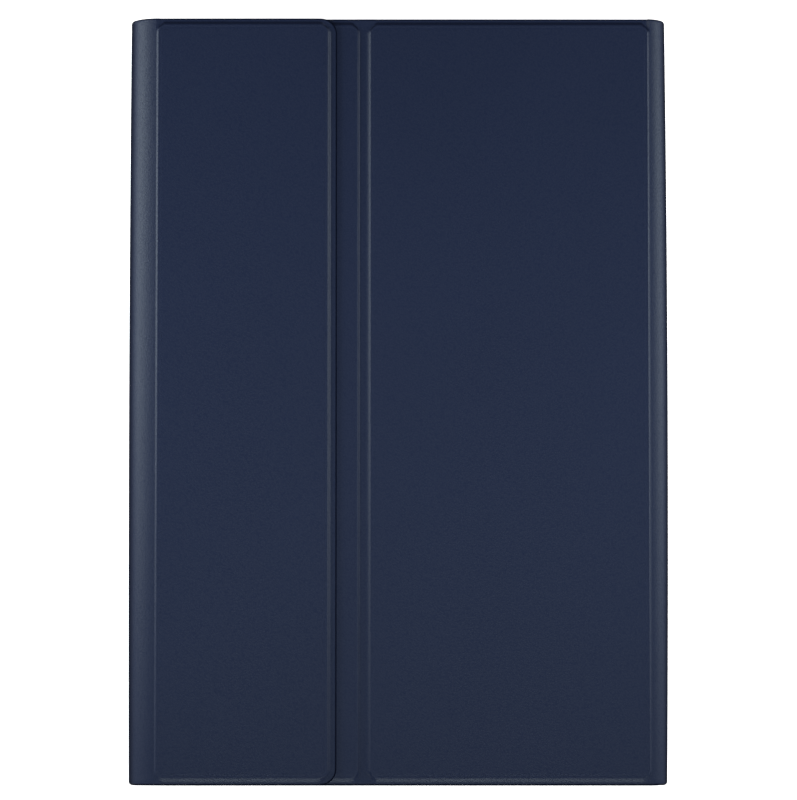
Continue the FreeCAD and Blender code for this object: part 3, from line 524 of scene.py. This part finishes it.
def depth_inside(across, along, low, high, half, corner):
    """How far each point lies inside a rectangle with rounded corners. It is negative outside."""
    over_across = np.maximum(low - across, across - high) + corner
    over_along = np.abs(along) - half + corner
    outside = np.hypot(np.maximum(over_across, 0), np.maximum(over_along, 0))
    return corner - outside - np.minimum(np.maximum(over_across, over_along), 0)


print("sheet helpers ready")

# %% Stretches of a section


def flat(x_from, x_to, z, up):
    """A flat stretch of a section: place and outward direction, each in X and Z."""
    return np.array([(x_from, z, 0.0, up), (x_to, z, 0.0, up)])


def upright(x, z_from, z_to, out):
    """An upright stretch of a section."""
    return np.array([(x, z_from, out, 0.0), (x, z_to, out, 0.0)])


def shoulder(x_top, z_top, x_side, z_side, overrun):
    """A rounded stretch from a panel to an upright side: part of an ellipse whose middle lies beyond
    the panel's edge by the overrun, so that the shoulder already slopes where it meets the panel."""
    out = math.copysign(1, x_side - x_top)
    up = math.copysign(1, z_top - z_side)
    reach_x = abs(x_side - x_top) + overrun
    first = math.acos(overrun / reach_x)
    reach_z = abs(z_top - z_side) / math.sin(first)
    angle = np.linspace(first, 0, ROLL_POINTS)
    x = x_side - out * reach_x * (1 - np.cos(angle))
    z = z_side + up * reach_z * np.sin(angle)
    out_x = np.cos(angle) / reach_x
    out_z = np.sin(angle) / reach_z
    long = np.hypot(out_x, out_z)
    return np.column_stack([x, z, out * out_x / long, up * out_z / long])


print("sections can be flat, upright or round")

# %% Corners, hems, wear and painted light


def round_off(across, along, length, half, corner):
    """Draw the far edge of a sheet in, so that its two far corners are round."""
    if not corner:
        return across
    past = np.maximum(np.abs(along) - (half - corner), 0)
    inset = corner - np.sqrt(np.maximum(corner ** 2 - past ** 2, 0))
    kept = length - 2 * corner
    drawn = kept + (across - kept) * (2 * corner - inset) / (2 * corner)
    return np.where(across > kept, drawn, across)


def drawn_in(x, along):
    """The long sides of the cover come in a little towards the ends, and its corners are round."""
    past = np.clip(np.abs(along) - cad_high.y + COVER_CORNER, 0, COVER_CORNER)
    corner = COVER_CORNER - np.sqrt(COVER_CORNER ** 2 - past ** 2)
    bow = (along / cad_high.y) ** 2
    left = ease(-x, -cad_low.x - DRAWN_REACH, -cad_low.x)
    right = ease(x, cad_high.x - DRAWN_REACH, cad_high.x)
    return x + (SPINE_DRAWN * bow + corner) * left - (FREE_DRAWN * bow + corner) * right


def without_doubles(stretches):
    """The points of a section, each once, and how far along the section each one lies."""
    rows = np.vstack(stretches)
    steps = np.hypot(np.diff(rows[:, 0]), np.diff(rows[:, 1]))
    apart = steps > SMALLEST
    run = np.concatenate([[0], np.cumsum(steps[apart])])
    return rows[np.concatenate([[True], apart])], run


def edge_places(length, free_start, free_end):
    """Where the two edges of a sheet lie. An edge that meets another piece counts as far away."""
    low = 0.0 if free_start else -NO_EDGE
    high = length if free_end else length + NO_EDGE
    return low, high


def hem_drop(edge):
    """How far the outer side of a sheet drops at a free edge: a quarter of a circle."""
    curl = HEM_RADIUS - np.minimum(edge, HEM_RADIUS)
    return HEM_RADIUS - np.sqrt(HEM_RADIUS ** 2 - curl ** 2)


def wear_and_painted_light_of(height, stations, ends, edge, out_x):
    """The two values that the leather reads: where it is rubbed and painted lighter, and where it has edge
    paint, painted shade and a dull coat.
    """
    rise = np.gradient(height, ends, axis=1)
    # Only steps that rise towards the far end count, so they face the near end and get a painted highlight
    # beside the wear.
    slope = np.hypot(np.gradient(height, stations, axis=0), np.maximum(rise, 0))
    # Free edges get dark edge paint, which also stands in for shade at the edge.
    painted = 1 - ease(edge, *PAINT_FADES)
    # Upright sides get painted shade and a duller coat.
    side_painted_shade = SIDE_SHADE_AND_DULL * ease(np.abs(out_x), *SIDE_STARTS)
    # Steps that face the far end get painted shade and a duller coat.
    far_step_painted_shade = FAR_SHADE_AND_DULL * ease(-rise, *FAR_STARTS)
    return {"rub": np.clip(slope, 0, 1), "hem": np.maximum.reduce([painted, side_painted_shade, far_step_painted_shade])}


print("corners, hems and wear ready")

# %% Build a sheet


def new_piece(name, mesh):
    """An object for a finished mesh, smooth except at its sharp edges."""
    mesh.shade_smooth()
    mesh.set_sharp_from_angle(angle=SMOOTH_ANGLE)
    return add_object(name, mesh)


def grid_faces(rows, columns):
    """Faces of a grid of points, of a second grid under it and of the walls between their rims."""
    index = np.arange(rows * columns).reshape(rows, columns)
    corners = [index[:-1, :-1], index[1:, :-1], index[1:, 1:], index[:-1, 1:]]
    quads = np.stack(corners, axis=-1).reshape(-1, 4)
    rim = np.concatenate([index[:-1, 0], index[-1, :-1], index[:0:-1, -1], index[0, :0:-1]])
    beside = np.roll(rim, -1)
    under = rows * columns
    walls = np.column_stack([rim, beside, beside + under, rim + under])
    return quads, quads[:, ::-1] + under, walls[:, ::-1]


def face_outward(mesh):
    """Turn every face of a closed mesh outward."""
    shell = bmesh.new()
    shell.from_mesh(mesh)
    bmesh.ops.recalc_face_normals(shell, faces=shell.faces)
    shell.to_mesh(mesh)
    shell.free()


def closed_grid(name, outer, inner, wear_and_painted_light):
    """A mesh with an outer and an inner side, closed all round. Inner faces take the second finish."""
    top, bottom, walls = grid_faces(*outer.shape[:2])
    mesh = bpy.data.meshes.new(name)
    points = np.concatenate([outer.reshape(-1, 3), inner.reshape(-1, 3)])
    mesh.from_pydata(points.tolist(), [], np.vstack([top, bottom, walls]).tolist())
    finish = np.repeat([0, 1, 0], [len(top), len(bottom), len(walls)]).astype(np.int32)
    mesh.polygons.foreach_set("material_index", finish)
    for word, values in wear_and_painted_light.items():
        attribute = mesh.attributes.new(word, "FLOAT", "POINT")
        attribute.data.foreach_set("value", np.tile(values.ravel(), 2).astype(np.float32))
    face_outward(mesh)
    return mesh


def sheet(name, stretches, thickness, relief, free_start=False, free_end=False, corner=0.0, half=None,
          bends=()):
    """A closed sheet along a section. Relief gives its height at each place, and free edges get a hem."""
    half = half or cad_high.y
    rows, run = without_doubles(stretches)
    length = run[-1]
    stations = spread(length, bends)
    ends = spread(2 * half) - half
    across, along = np.meshgrid(stations, ends, indexing="ij")
    across = round_off(across, along, length, half, corner)
    x, z, out_x, out_z = (np.interp(across, run, column) for column in rows.T)
    low, high = edge_places(length, free_start, free_end)
    edge = np.clip(depth_inside(across, along, low, high, half, corner), 0, None)
    height = relief(across, along, length)
    sides = []
    for lift in (height - hem_drop(edge), height - thickness):
        sides.append(np.stack([drawn_in(x + out_x * lift, along), along, z + out_z * lift], axis=-1))
    wear_and_painted_light = wear_and_painted_light_of(height, stations, ends, edge, out_x)
    return new_piece(name, closed_grid(name, *sides, wear_and_painted_light))


print("sheets can be built")

# %% [markdown]
# ## Standing for a node of the frame
# Most pieces then ride one body. The folds ride none.

# %% Take the place of a node


def stand_for(piece, node, inside=None):
    """The piece stands in for a CAD node: it takes the node's place and the finish of its slot, and the
    node is hidden.
    """
    piece.data.materials.append(FINISHES[slot_of[node]])
    if inside:
        piece.data.materials.append(FINISHES[inside])
    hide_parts(node)
    print(f"{piece.name} stands for {node}, {len(piece.data.polygons)} faces")


def stand_and_ride(piece, node):
    """Stand for a CAD node and move with its body."""
    stand_for(piece, node)
    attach(piece, body_of[node])


print(f"{len(body_of)} nodes know their body")

# %% [markdown]
# ## Leather over the boards
# Each panel's field stands a board's thickness above its rim, and the leather bridges the step in a
# short soft ramp with a faint pressed line just inside it. At the near end the rim is only a little
# lower than the field, because the skin is stretched over the board there. At the far end it is pressed
# nearly flat. Where a panel goes on into a fold there is no rim, and the ramp starts at the seam, so
# the two pieces meet at one height.
# The groove between the two panels of the tablet cover is not quite as deep as the boards, with a
# quick step on the narrow side and a hollow rise on the wide side, so one formula serves three
# pieces. The sizes are read from the boards and skins of the frame.

# %% Sizes of the cover from the frame
half_length = cad_high.y
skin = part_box("spine_skin")[1].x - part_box("spine_skin")[0].x
board_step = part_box("flap_board")[1].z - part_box("flap_board")[0].z
raised_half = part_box("flap_board")[1].y + skin
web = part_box("stand_fold_web")[1].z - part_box("stand_fold_web")[0].z
fold_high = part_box("spine_upper_fold")[1]
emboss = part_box("flap_skin")[1].z - fold_high.z
RAMP = 0.85 * MM
END_RAMP = 1.75 * MM
FREE_RAMP = 1.40 * MM
RAMP_OUTSIDE = 0.45 * MM
FIELD_CORNER = 3.2 * MM
SEAM_REACH = 2.0 * MM
NEAR_RIM = 0.72
FAR_RIM = 0.20
RIM_FADE = 4.0 * MM
CREASE_DEPTH = 0.07 * MM
CREASE_PLACE = 1.40 * MM
CREASE_WIDTH = 0.30 * MM
print(f"skin {skin / MM:.2f} mm, board {board_step / MM:.2f} mm, fold below the field {emboss / MM:.2f} mm")

# %% Raised fields


def field_depth(across, along, low, high):
    """How far each point lies inside a raised field, which slopes more slowly at the two ends."""
    half = raised_half + RAMP_OUTSIDE
    past = np.maximum(np.abs(along) - (half - RAMP), 0)
    along = np.abs(along) - past * (1 - RAMP / END_RAMP)
    return depth_inside(across, along, low, high, half, FIELD_CORNER)


def end_rim(along):
    """Height of the rim at the two ends of a board, as a share of the board."""
    return NEAR_RIM + (FAR_RIM - NEAR_RIM) * ease(along, -half_length, half_length)


def pressed(depth):
    """The faint line that is pressed just inside the edge of a field."""
    return CREASE_DEPTH / board_step * np.exp(-((depth - CREASE_PLACE) / CREASE_WIDTH) ** 2)


def field_mask(across, along, low, high):
    """1 on a raised field and 0 on the rim round it."""
    depth = field_depth(across, along, low, high)
    return ease(depth, 0, RAMP) - pressed(depth)


def stepped_relief(field_width):
    """Relief of a panel that goes on from a fold: level at the seam, then field or rim. The step at
    its free side slopes more slowly than the others."""
    rim_drop = board_step - emboss

    def relief(across, along, length):
        beside = 1 - ease(across, field_width - RIM_FADE, field_width)
        rim = (board_step * end_rim(along) * beside - rim_drop) * ease(across, 0, SEAM_REACH)
        edge = field_width + RAMP_OUTSIDE
        slowed = across - np.maximum(across - (edge - RAMP), 0) * (1 - RAMP / FREE_RAMP)
        return rim + (emboss - rim) * field_mask(slowed, along, 0, edge)

    return relief


print("relief of flap and deck ready")

# %% The flap and the deck
flap_low, flap_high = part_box("flap_skin")
flap_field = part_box("flap_board")[1].x + skin - flap_low.x
FLAP_CORNER = 5.5 * MM
flap = sheet("flap_leather", [flat(flap_low.x, flap_high.x, fold_high.z, 1)], skin,
             stepped_relief(flap_field), free_end=True, corner=FLAP_CORNER, bends=[flap_field])
stand_and_ride(flap, "flap_skin")

deck_low, deck_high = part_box("deck_skin")
deck_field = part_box("deck_board")[1].x + skin - deck_low.x
deck = sheet("deck_leather", [flat(deck_low.x, deck_high.x, deck_low.z + emboss, -1)], skin,
             stepped_relief(deck_field), free_end=True)
stand_and_ride(deck, "deck_skin")

# %% The groove between the panels of the tablet cover
lower_low, lower_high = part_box("lower_stand_skin")
upper_low, upper_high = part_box("upper_stand_skin")
rim_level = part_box("stand_fold_web")[1].z
lower_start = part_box("lower_stand_board")[0].x - skin - RAMP_OUTSIDE
upper_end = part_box("upper_stand_board")[1].x + skin + RAMP_OUTSIDE
GROOVE_SHARE = 0.72
STEP_OVERHANG = 0.5 * MM
GROOVE_RISE = 2.0 * MM
GROOVE_LAP = 1.5 * MM
HOLLOWNESS = 2
groove_end = upper_low.x - GROOVE_LAP
step_end = lower_high.x + STEP_OVERHANG
rise_end = upper_low.x


def wide_mask(x, along):
    """1 on the wide panel, with a hollow rise from the groove and ramps at its other sides."""
    squeezed = rise_end - (rise_end - x) * RAMP / GROOVE_RISE
    depth = field_depth(np.maximum(x, squeezed), along, rise_end - RAMP, upper_end)
    hollow = 1 - ease(x, rise_end, rise_end + SEAM_REACH)
    share = np.clip(depth / RAMP, 0, 1)
    return hollow * share ** HOLLOWNESS + (1 - hollow) * ease(depth, 0, RAMP) - pressed(depth)


def stand_relief(x_start):
    """Relief across the tablet cover for a sheet that starts at one place."""

    def relief(across, along, length):
        x = x_start + across
        raised = np.maximum(field_mask(x, along, lower_start, step_end), wide_mask(x, along))
        groove = ease(x, step_end - SEAM_REACH, step_end) - ease(x, rise_end, rise_end + SEAM_REACH)
        ends = ease(x, lower_start, lower_start + RIM_FADE) - ease(x, upper_end - RAMP, upper_end)
        ground = (1 - GROOVE_SHARE) * groove + end_rim(along) * (ends - groove)
        return board_step * (ground + (1 - ground) * raised)

    return relief


print(f"groove from {step_end / MM:.2f} to {rise_end / MM:.2f} mm")

# %% The two panels of the tablet cover
lower = sheet("lower_stand_leather", [flat(lower_low.x, lower_high.x, rim_level, 1)], skin,
              stand_relief(lower_low.x), free_start=True)
stand_and_ride(lower, "lower_stand_skin")

ROLL_OVERRUN = 2.5 * MM
FREE_RIM = 0.75 * MM
upper_section = [
    flat(groove_end, upper_end - RAMP, rim_level, 1),
    shoulder(upper_end, rim_level + FREE_RIM, upper_high.x, upper_low.z, ROLL_OVERRUN),
]
upper = sheet("upper_stand_leather", upper_section, skin, stand_relief(groove_end), free_end=True,
              bends=[upper_end - groove_end])
stand_and_ride(upper, "upper_stand_skin")

# %% [markdown]
# ## Folds
# Between the boards the leather and its lining are bonded without a board, and there the cover bends:
# at the two round shoulders of the spine and in the groove of the stand. Each fold is a sheet of its
# own, shaped as the bend, that rides no body.
# The inner side of a fold shows the lining cloth. The strip that stiffens the spine is drawn in at its
# ends like the leather over it and is a little narrower than the lining, so that it stays covered.

# %% The spine and its shoulders
spine_low, spine_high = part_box("spine_skin")
bottom_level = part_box("spine_lower_fold")[0].z
SHOULDER_OVERRUN = 7.0 * MM


def no_relief(across, along, length):
    """The relief of a sheet without boards."""
    return np.zeros_like(across)


spine = sheet("spine_leather", [upright(spine_low.x, spine_low.z, spine_high.z, -1)], skin, no_relief)
stand_and_ride(spine, "spine_skin")

STRIP_INSET = 0.8 * MM
strip_low, strip_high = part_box("spine_stiffener")
strip_section = upright(strip_low.x, strip_low.z + STRIP_INSET, strip_high.z - STRIP_INSET, -1)
stiffener = sheet("spine_stiffener_strip", [strip_section], strip_high.x - strip_low.x, no_relief,
                  half=strip_high.y)
stand_and_ride(stiffener, "spine_stiffener")

upper_shoulder = shoulder(flap_low.x, fold_high.z, spine_low.x, spine_high.z, SHOULDER_OVERRUN)
upper_fold = sheet("spine_upper_fold_leather", [upper_shoulder], web, no_relief)
stand_for(upper_fold, "spine_upper_fold", "lining_cloth")
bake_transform(upper_fold)

lower_shoulder = shoulder(deck_low.x, bottom_level, spine_low.x, spine_low.z, SHOULDER_OVERRUN)
lower_fold = sheet("spine_lower_fold_leather", [lower_shoulder], web, no_relief)
stand_for(lower_fold, "spine_lower_fold", "lining_cloth")
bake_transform(lower_fold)

# %% The groove of the stand
groove = sheet("stand_fold_leather", [flat(lower_high.x, groove_end, rim_level, 1)], web,
               stand_relief(lower_high.x))
stand_for(groove, "stand_fold_web", "lining_cloth")
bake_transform(groove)

# %% [markdown]
# ## Lining
# The lining is a thin cloth glued to the inside of each panel and cut just short of the hem. It is
# the same kind of sheet as the leather, turned over, with a line pressed in beside its edge.

# %% The lining of each panel
LINING_INSET = 0.5 * MM
LINING_CREASE_PLACE = 2.2 * MM
LINING_CREASE_WIDTH = 0.35 * MM


def lining_relief(free_start, free_end, half):
    """A pressed line that runs beside the free edges of a lining."""

    def relief(across, along, length):
        low, high = edge_places(length, free_start, free_end)
        depth = depth_inside(across, along, low, high, half, 0.0)
        line = np.exp(-((depth - LINING_CREASE_PLACE) / LINING_CREASE_WIDTH) ** 2)
        return -CREASE_DEPTH * line

    return relief


def line_panel(name, node, up, free_start, free_end, corner=0.0):
    """Cloth on the inner side of a panel, whose free edges stay inside the hem."""
    low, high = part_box(node)
    left = low.x + LINING_INSET * free_start
    right = high.x - LINING_INSET * free_end
    half = half_length - LINING_INSET
    shown_side = high.z if up > 0 else low.z
    relief = lining_relief(free_start, free_end, half)
    cloth = sheet(name, [flat(left, right, shown_side, up)], high.z - low.z, relief,
                  free_start, free_end, corner, half)
    stand_and_ride(cloth, node)


line_panel("flap_cloth", "flap_lining", -1, False, True, FLAP_CORNER)
line_panel("lower_stand_cloth", "lower_stand_lining", -1, True, False)
line_panel("upper_stand_cloth", "upper_stand_lining", -1, False, True)
line_panel("deck_cloth", "deck_lining", 1, False, True)
cloth_low, cloth_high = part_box("spine_lining")
spine_cloth = sheet("spine_cloth", [upright(cloth_high.x, cloth_low.z, cloth_high.z, 1)],
                    cloth_high.x - cloth_low.x, no_relief, half=half_length - LINING_INSET)
stand_and_ride(spine_cloth, "spine_lining")

# %% [markdown]
# ## Moulded shells
# The keyboard shell, the rest for the tablet, the holder and small hard pieces have the right shape in
# the frame, but their edges are knife sharp. Real mouldings have small rounds that catch light.
# A copy of the node gets its flat faces joined again and its sharp edges rounded.

# %% Round the edges of a moulded piece
SHARP_ANGLE = math.radians(30)
FLAT_ANGLE = math.radians(1)
ROUND_STEPS = 2
WELD = SMALLEST * 10


def moulding(name, node, radius):
    """A copy of a CAD node with rounds on its sharp edges."""
    shell = bmesh.new()
    shell.from_mesh(nodes[node].data)
    bmesh.ops.remove_doubles(shell, verts=shell.verts, dist=WELD)
    bmesh.ops.dissolve_limit(shell, angle_limit=FLAT_ANGLE, verts=shell.verts, edges=shell.edges)
    edges = [edge for edge in shell.edges if edge.is_manifold and edge.calc_face_angle() > SHARP_ANGLE]
    bmesh.ops.bevel(shell, geom=edges, offset=radius, segments=ROUND_STEPS, profile=0.5,
                    affect="EDGES", clamp_overlap=True)
    bmesh.ops.recalc_face_normals(shell, faces=shell.faces)
    mesh = bpy.data.meshes.new(name)
    shell.to_mesh(mesh)
    shell.free()
    stand_and_ride(new_piece(name, mesh), node)


print("edges can be rounded")

# %% The moulded pieces
# Radius of the rounds on each piece, in millimetres
MOULDINGS = {
    "keyboard_bottom_case": 0.30,
    "keyboard_top_frame": 0.20,
    "tablet_rest_rail": 0.45,
    "tablet_holder": 0.30,
    "holder_grip_bars": 0.35,
    "holder_pads": 0.18,
    "keyboard_bumpers": 0.70,
    "charging_socket": 0.08,
    "power_switch_knob": 0.22,
    "pair_button": 0.25,
}
for node, radius in MOULDINGS.items():
    moulding(f"{node}_shell", node, radius * MM)

# %% [markdown]
# ## Grip strip
# In the slot of the rest lies a rubber strip with fine ribs that stop the tablet from sliding.
# The ribs run along the strip, so it is one more sheet, with a wave for its relief.

# %% A ribbed strip
RIBS = 7
RIB_HEIGHT = 0.16 * MM


def ribs(across, along, length):
    """Rounded ribs that run the length of the strip."""
    wave = 0.5 - 0.5 * np.cos(2 * math.pi * RIBS * across / length)
    return RIB_HEIGHT * (wave - 1)


grip_low, grip_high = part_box("rest_grip_strip")
grip_body = grip_high.z - grip_low.z - RIB_HEIGHT
grip = sheet("rest_grip_ribs", [flat(grip_low.x, grip_high.x, grip_high.z, 1)], grip_body, ribs,
             half=grip_high.y)
stand_and_ride(grip, "rest_grip_strip")

# %% [markdown]
# ## Key caps
# A key cap is a low block with tapered sides, a rounded top edge and a slight dish for the finger.
# It is lofted through rounded rectangles: up the side, round the edge and down into the dish.
# The pitch of the keys is worked out from a single key and from the row beside it.

# %% One loft per key
ROW_COUNT = 12
single_low, single_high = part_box("escape_key")
row_low, row_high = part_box("function_keys")
single_length = single_high.y - single_low.y
key_pitch = ((row_high.y - row_low.y) - single_length) / (ROW_COUNT - 1)
key_gap = key_pitch - single_length
CAP_CORNER = 1.5 * MM
CAP_TAPER = math.tan(math.radians(6))
CAP_EDGE = 0.45 * MM
CAP_DISH = 0.18 * MM
CORNER_POINTS = 6
EDGE_RINGS = 5
DISH_RINGS = (0.85, 0.65, 0.45, 0.25)


def rounded_loop(width, length, radius):
    """Points round a rectangle about its own middle, with rounded corners."""
    points = []
    for quarter, (side_x, side_y) in enumerate([(1, 1), (-1, 1), (-1, -1), (1, -1)]):
        middle = np.array([side_x * (width / 2 - radius), side_y * (length / 2 - radius)])
        for angle in np.linspace(quarter, quarter + 1, CORNER_POINTS) * math.pi / 2:
            points.append(middle + radius * np.array([math.cos(angle), math.sin(angle)]))
    return np.array(points)


def cap_rings(width, length, height):
    """Rings of one key cap from its foot to the middle of its dish: points and heights."""
    wall = CAP_TAPER * (height - CAP_EDGE)
    rings = [(rounded_loop(width, length, CAP_CORNER), 0.0)]
    for angle in np.linspace(0, math.pi / 2, EDGE_RINGS):
        inset = wall + CAP_EDGE * (1 - math.cos(angle))
        loop = rounded_loop(width - 2 * inset, length - 2 * inset, CAP_CORNER - inset / 2)
        rings.append((loop, height - CAP_EDGE * (1 - math.sin(angle))))
    rim = rings[-1][0]
    for share in DISH_RINGS:
        rings.append((rim * share, height - CAP_DISH * (1 - share ** 2)))
    return rings


def add_cap(points, faces, middle, rings, low):
    """Add one key cap to lists of points and faces."""
    count = len(rings[0][0])
    start = len(points)
    for loop, rise in rings:
        points.extend((middle[0] + x, middle[1] + y, low + rise) for x, y in loop)
    for ring in range(len(rings) - 1):
        first = start + ring * count
        for point in range(count):
            beside = (point + 1) % count
            faces.append((first + point, first + beside, first + count + beside, first + count + point))
    faces.append(tuple(range(start + count - 1, start - 1, -1)))
    last = start + (len(rings) - 1) * count
    faces.append(tuple(range(last, last + count)))


print(f"key pitch {key_pitch / MM:.3f} mm, gap {key_gap / MM:.2f} mm")

# %% [markdown]
# ## Legends
# The keys carry plain letters, numbers and key words, printed in pale grey. Text objects give the
# outlines, and a hair of thickness makes each one a closed film. Its points are lifted to lie on the dish.
# The four arrows are one outline in four turns.
# The user sits on the side of the free edge, so text runs along the spine's direction.

# %% What is printed on the keys
LEFT_ARROW, DOWN_ARROW, RIGHT_ARROW, UP_ARROW = "\u2190", "\u2193", "\u2192", "\u2191"
LEGENDS = {
    "escape_key": ["esc"],
    "function_keys": [f"F{number}" for number in range(1, ROW_COUNT + 1)],
    "number_keys": list("`1234567890-="),
    "backspace_key": ["back"],
    "tab_key": ["tab"],
    "upper_letter_keys": list("QWERTYUIOP[]\\"),
    "caps_lock_key": ["caps"],
    "home_letter_keys": list("ASDFGHJKL;'"),
    "enter_key": ["enter"],
    "left_shift_key": ["shift"],
    "lower_letter_keys": list("ZXCVBNM,./"),
    "right_shift_key": ["shift"],
    "left_modifier_keys": ["fn", "ctrl", "alt", "menu"],
    "space_bar": [""],
    "right_modifier_keys": ["alt", "ctrl"],
    "left_arrow_key": [LEFT_ARROW],
    "up_arrow_key": [UP_ARROW],
    "down_arrow_key": [DOWN_ARROW],
    "right_arrow_key": [RIGHT_ARROW],
}
print(f"{sum(len(legends) for legends in LEGENDS.values())} keys on {len(LEGENDS)} nodes")

# %% Print on the keys
ARROW_TURNS = {LEFT_ARROW: 0, DOWN_ARROW: 1, RIGHT_ARROW: 2, UP_ARROW: 3}
LETTER_SIZE = 4.6 * MM
WORD_SIZE = 3.1 * MM
LARGEST_SHARE = 0.5
PRINT_THICKNESS = 0.02 * MM


def dish_rise(place, rim):
    """How far the dish lies above its deepest point, at a place measured from the middle of the key."""
    share = max(abs(place.x) / rim[0], abs(place.y) / rim[1])
    rings = np.array([*reversed(DISH_RINGS), 1.0])
    return CAP_DISH * np.interp(share, rings, rings ** 2)


def add_legend(film, text, middle, width, level, rim):
    """Add the outline of one legend to a mesh, centred on its key and lying on its dish."""
    curve = bpy.data.curves.new("legend", "FONT")
    curve.body = LEFT_ARROW if text in ARROW_TURNS else text
    curve.size = min(LETTER_SIZE if len(text) == 1 else WORD_SIZE, LARGEST_SHARE * width)
    curve.align_x = "CENTER"
    curve.align_y = "CENTER"
    curve.extrude = PRINT_THICKNESS
    letter = add_object("legend", curve)
    shown = letter.evaluated_get(bpy.context.evaluated_depsgraph_get())
    outline = bpy.data.meshes.new_from_object(shown)
    quarter_turns = 1 + ARROW_TURNS.get(text, 0)
    outline.transform(Matrix.Rotation(quarter_turns * math.pi / 2, 4, "Z"))
    for vertex in outline.vertices:
        vertex.co.z += dish_rise(vertex.co, rim)
    outline.transform(Matrix.Translation((*middle, level)))
    film.from_mesh(outline)
    bpy.data.objects.remove(letter)
    bpy.data.curves.remove(curve)
    bpy.data.meshes.remove(outline)


def add_print(node, film):
    """The legends of one CAD node, as a piece of their own."""
    bmesh.ops.remove_doubles(film, verts=film.verts, dist=WELD)
    mesh = bpy.data.meshes.new(f"{node}_legends")
    film.to_mesh(mesh)
    mesh.materials.append(PRINT)
    legend = add_object(f"{node}_legends", mesh)
    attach(legend, body_of[node])
    print(f"{legend.name} have {len(mesh.polygons)} faces")


# %% Caps with their print


def make_keys(node, legends):
    """The caps of one CAD node and the print on them."""
    low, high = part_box(node)
    length = high.y - low.y - (len(legends) - 1) * key_pitch
    width = high.x - low.x
    rings = cap_rings(width, length, high.z - low.z)
    rim = rings[EDGE_RINGS][0].max(axis=0)
    print_level = high.z - CAP_DISH + PRINT_THICKNESS / 2
    points, faces = [], []
    film = bmesh.new()
    for number, text in enumerate(legends):
        middle = ((low.x + high.x) / 2, low.y + length / 2 + number * key_pitch)
        add_cap(points, faces, middle, rings, low.z)
        if text:
            add_legend(film, text, middle, width, print_level, rim)
    mesh = bpy.data.meshes.new(f"{node}_caps")
    mesh.from_pydata(points, [], faces)
    stand_and_ride(new_piece(f"{node}_caps", mesh), node)
    if film.verts:
        add_print(node, film)
    film.free()


for node, legends in LEGENDS.items():
    make_keys(node, legends)

# %% [markdown]
# ## Floor and light
# The case lies on a plain white surface, a light table turned low. A wide soft lamp above the near end
# lights the panels and leaves the slopes at the far end dark. A grid in front of it narrows its light,
# so the panels are brightest near their middle. A smaller soft lamp low at each side, towards the far
# end, draws a bright line along the spine, the free edge and every step that faces it. The room adds a
# weak even light. On the leather, painted shade darkens the far slopes and upright sides further, and a
# painted highlight lightens the steps.

# %% Floor
FLOOR_SIZE = 16.0
FLOOR_GLOW = 0.75
FLOOR_GAP = 0.02 * MM
FLOOR_CLOUD = 200 * MM
FLOOR_DEPTH = 0.01 * MM
FLOOR_GREY = (0.90, 0.90, 0.90)
FLOOR_WHITE = (0.94, 0.94, 0.94)


def white_floor():
    """Matt white that glows a little."""
    material, place = begin("white_floor")
    cloud = noise(place, FLOOR_CLOUD)
    colour = between(cloud, FLOOR_GREY, FLOOR_WHITE)
    glow = {"Specular_IOR_Level": 0.1, "Emission_Color": (1, 1, 1, 1), "Emission_Strength": FLOOR_GLOW}
    complete(surface(place, colour, 0.85 + 0.05 * cloud, cloud, FLOOR_DEPTH, **glow))
    return material


floor_mesh = bpy.data.meshes.new("floor")
reach = FLOOR_SIZE / 2
corners = [(-reach, -reach, 0), (reach, -reach, 0), (reach, reach, 0), (-reach, reach, 0)]
floor_mesh.from_pydata(corners, [], [(0, 1, 2, 3)])
floor_mesh.materials.append(white_floor())
floor = add_object("floor", floor_mesh)
floor.location.z = cad_low.z - FLOOR_GAP
print(f"floor of {FLOOR_SIZE} m")

# %% Lamps
# Places and sizes are in metres, powers in watts
SIDE_LAMP = (0.24, 0.20)
NEAR_LAMP = (0.80, 0.20)
NEAR_BEAM = math.radians(20)
OPEN_BEAM = math.radians(180)
ROOM_LIGHT = 0.28


def lamp(name, place, aim, size, power, beam=OPEN_BEAM):
    """A rectangular soft lamp that faces a point. A grid in front of a lamp narrows its beam."""
    light = bpy.data.lights.new(name, "AREA")
    light.shape = "RECTANGLE"
    light.size, light.size_y = size
    light.energy = power
    light.spread = beam
    holder = add_object(name, light)
    holder.location = place
    holder.rotation_mode = "QUATERNION"
    holder.rotation_quaternion = (Vector(aim) - Vector(place)).to_track_quat("-Z", "Y")


lamp("left_lamp", place=(-0.43, 0.12, 0.19), aim=(-0.05, 0.065, 0), size=SIDE_LAMP, power=2.0)
lamp("right_lamp", place=(0.43, 0.09, 0.21), aim=(0.05, 0.05, 0), size=SIDE_LAMP, power=1.6)
lamp("near_lamp", place=(0, -0.70, 1.15), aim=(0, 0.005, 0), size=NEAR_LAMP, power=0.46, beam=NEAR_BEAM)
world = bpy.data.worlds.new("room")
bpy.context.scene.world = world
world.use_nodes = True
background = world.node_tree.nodes["Background"]
background.inputs["Color"].default_value = (1, 1, 1, 1)
background.inputs["Strength"].default_value = ROOM_LIGHT
bpy.context.scene.view_settings.view_transform = "Standard"
print("lamps and room ready")
